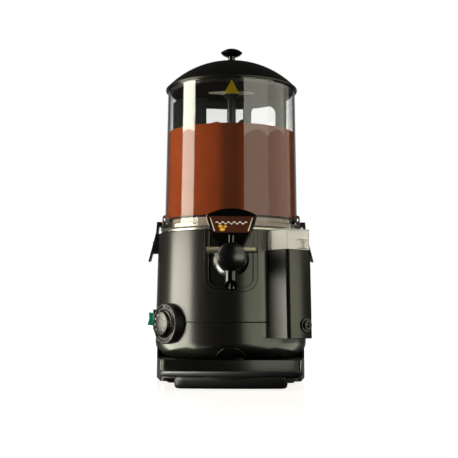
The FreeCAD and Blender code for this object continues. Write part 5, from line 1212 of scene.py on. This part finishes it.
def makePanels():
    for name, (*row, more) in panels.items():
        panel = {**dict(zip(panelKeys, row)), **more}
        azimuth = math.radians((panel["from"] + panel["to"]) / 2)
        wide = 2 * panel["distance"] * math.tan(math.radians(panel["to"] - panel["from"]) / 2)
        outward = Vector((math.sin(azimuth), -math.cos(azimuth), 0))
        middle = Vector((tankAxis.x, tankAxis.y, (panel["low"] + panel["high"]) / 2))
        place = middle + outward * panel["distance"]
        placeLamp(name, panel, place, -outward, wide, panel["high"] - panel["low"])
    for name, (*row, more) in leaningLamps.items():
        lamp = {**dict(zip(lampKeys, row)), **more}
        place = Vector(lamp["place"])
        placeLamp(name, lamp, place, Vector(lamp["aim"]) - place, lamp["wide"], lamp["tall"])


worldLook = {"back": 0.25, "front": 0.03, "seen": 1.0, "from": 0.84, "to": 0.97}


def makeWorld():
    # a white wall behind, a dark room in front; what is seen straight or through glass is the white wall
    world = bpy.data.worlds.new("studio")
    world.use_nodes = True
    tree = world.node_tree
    tree.nodes.clear()
    ray = addNode(tree, "ShaderNodeTexCoord").outputs["Generated"]
    axes = addNode(tree, "ShaderNodeSeparateXYZ", None, {0: ray})
    share = smoothStep(tree, axes.outputs["Y"], worldLook["from"], worldLook["to"],
                       worldLook["front"], worldLook["back"])
    path = addNode(tree, "ShaderNodeLightPath")
    unmirrored = addNode(tree, "ShaderNodeMath", {"operation": "LESS_THAN", 1: 0.5},
                         {0: path.outputs["Glossy Depth"]})
    through = addNode(tree, "ShaderNodeMath", {"operation": "MULTIPLY"},
                      {0: path.outputs["Is Transmission Ray"], 1: unmirrored.outputs[0]})
    direct = addNode(tree, "ShaderNodeMath", {"operation": "MAXIMUM"},
                     {0: path.outputs["Is Camera Ray"], 1: through.outputs[0]})
    strength = addNode(tree, "ShaderNodeMix", {"data_type": "FLOAT", 3: worldLook["seen"]},
                       {0: direct.outputs[0], 2: share})
    background = addNode(tree, "ShaderNodeBackground", {"Color": (1, 1, 1, 1)},
                         {"Strength": strength.outputs[0]})
    addNode(tree, "ShaderNodeOutputWorld", None, {"Surface": background.outputs[0]})
    bpy.context.scene.world = world


floorLook = {
    "colour": "#f4f1ee", "bounce": "#4a4846", "glow": 0.93, "farGlow": 1.2, "near": 0.3, "far": 0.9,
    "roughness": 0.12, "ior": 1.3, "half": 12.0, "cloud": 3.0, "cloudDetail": 2.0, "darker": 0.98,
}


def makeFloor():
    # lacquered white board, lit from within so that it meets the white wall without a line
    mesh = bpy.data.meshes.new("floor")
    half = floorLook["half"]
    corners = [(-half, -half, 0), (half, -half, 0), (half, half, 0), (-half, half, 0)]
    mesh.from_pydata(corners, [], [(0, 1, 2, 3)])
    floor = bpy.data.objects.new("floor", mesh)
    bpy.context.scene.collection.objects.link(floor)
    material, tree, place = newMaterial("lacqueredBoard")
    base = linear(floorLook["colour"])
    cloud = noise(tree, place, floorLook["cloud"], floorLook["cloudDetail"])
    tint = blend(tree, cloud, scaled(base, floorLook["darker"]), base)
    away = addNode(tree, "ShaderNodeVectorMath", {"operation": "LENGTH"}, {0: place})
    # painted shade: the glow is weaker near the middle, so the floor is darker round the object's foot, and
    # stronger far off
    glow = smoothStep(tree, away.outputs["Value"], floorLook["near"], floorLook["far"],
                      floorLook["glow"], floorLook["farGlow"])
    board = addNode(tree, "ShaderNodeBsdfPrincipled",
                    {"Roughness": floorLook["roughness"], "IOR": floorLook["ior"], "Emission Color": base},
                    {"Base Color": tint, "Emission Strength": glow})
    shade = addNode(tree, "ShaderNodeBsdfDiffuse", {"Color": linear(floorLook["bounce"])})
    path = addNode(tree, "ShaderNodeLightPath")
    toSurface(material, addNode(tree, "ShaderNodeMixShader", None, {
        0: path.outputs["Is Camera Ray"], 1: shade.outputs["BSDF"], 2: board.outputs["BSDF"]}))
    mesh.materials.append(material)
    floor.visible_glossy = False
    floor.visible_shadow = False


makeCamera()
makePanels()
makeWorld()
makeFloor()
bpy.context.scene.view_settings.view_transform = "Standard"
print("camera, lights and floor set")
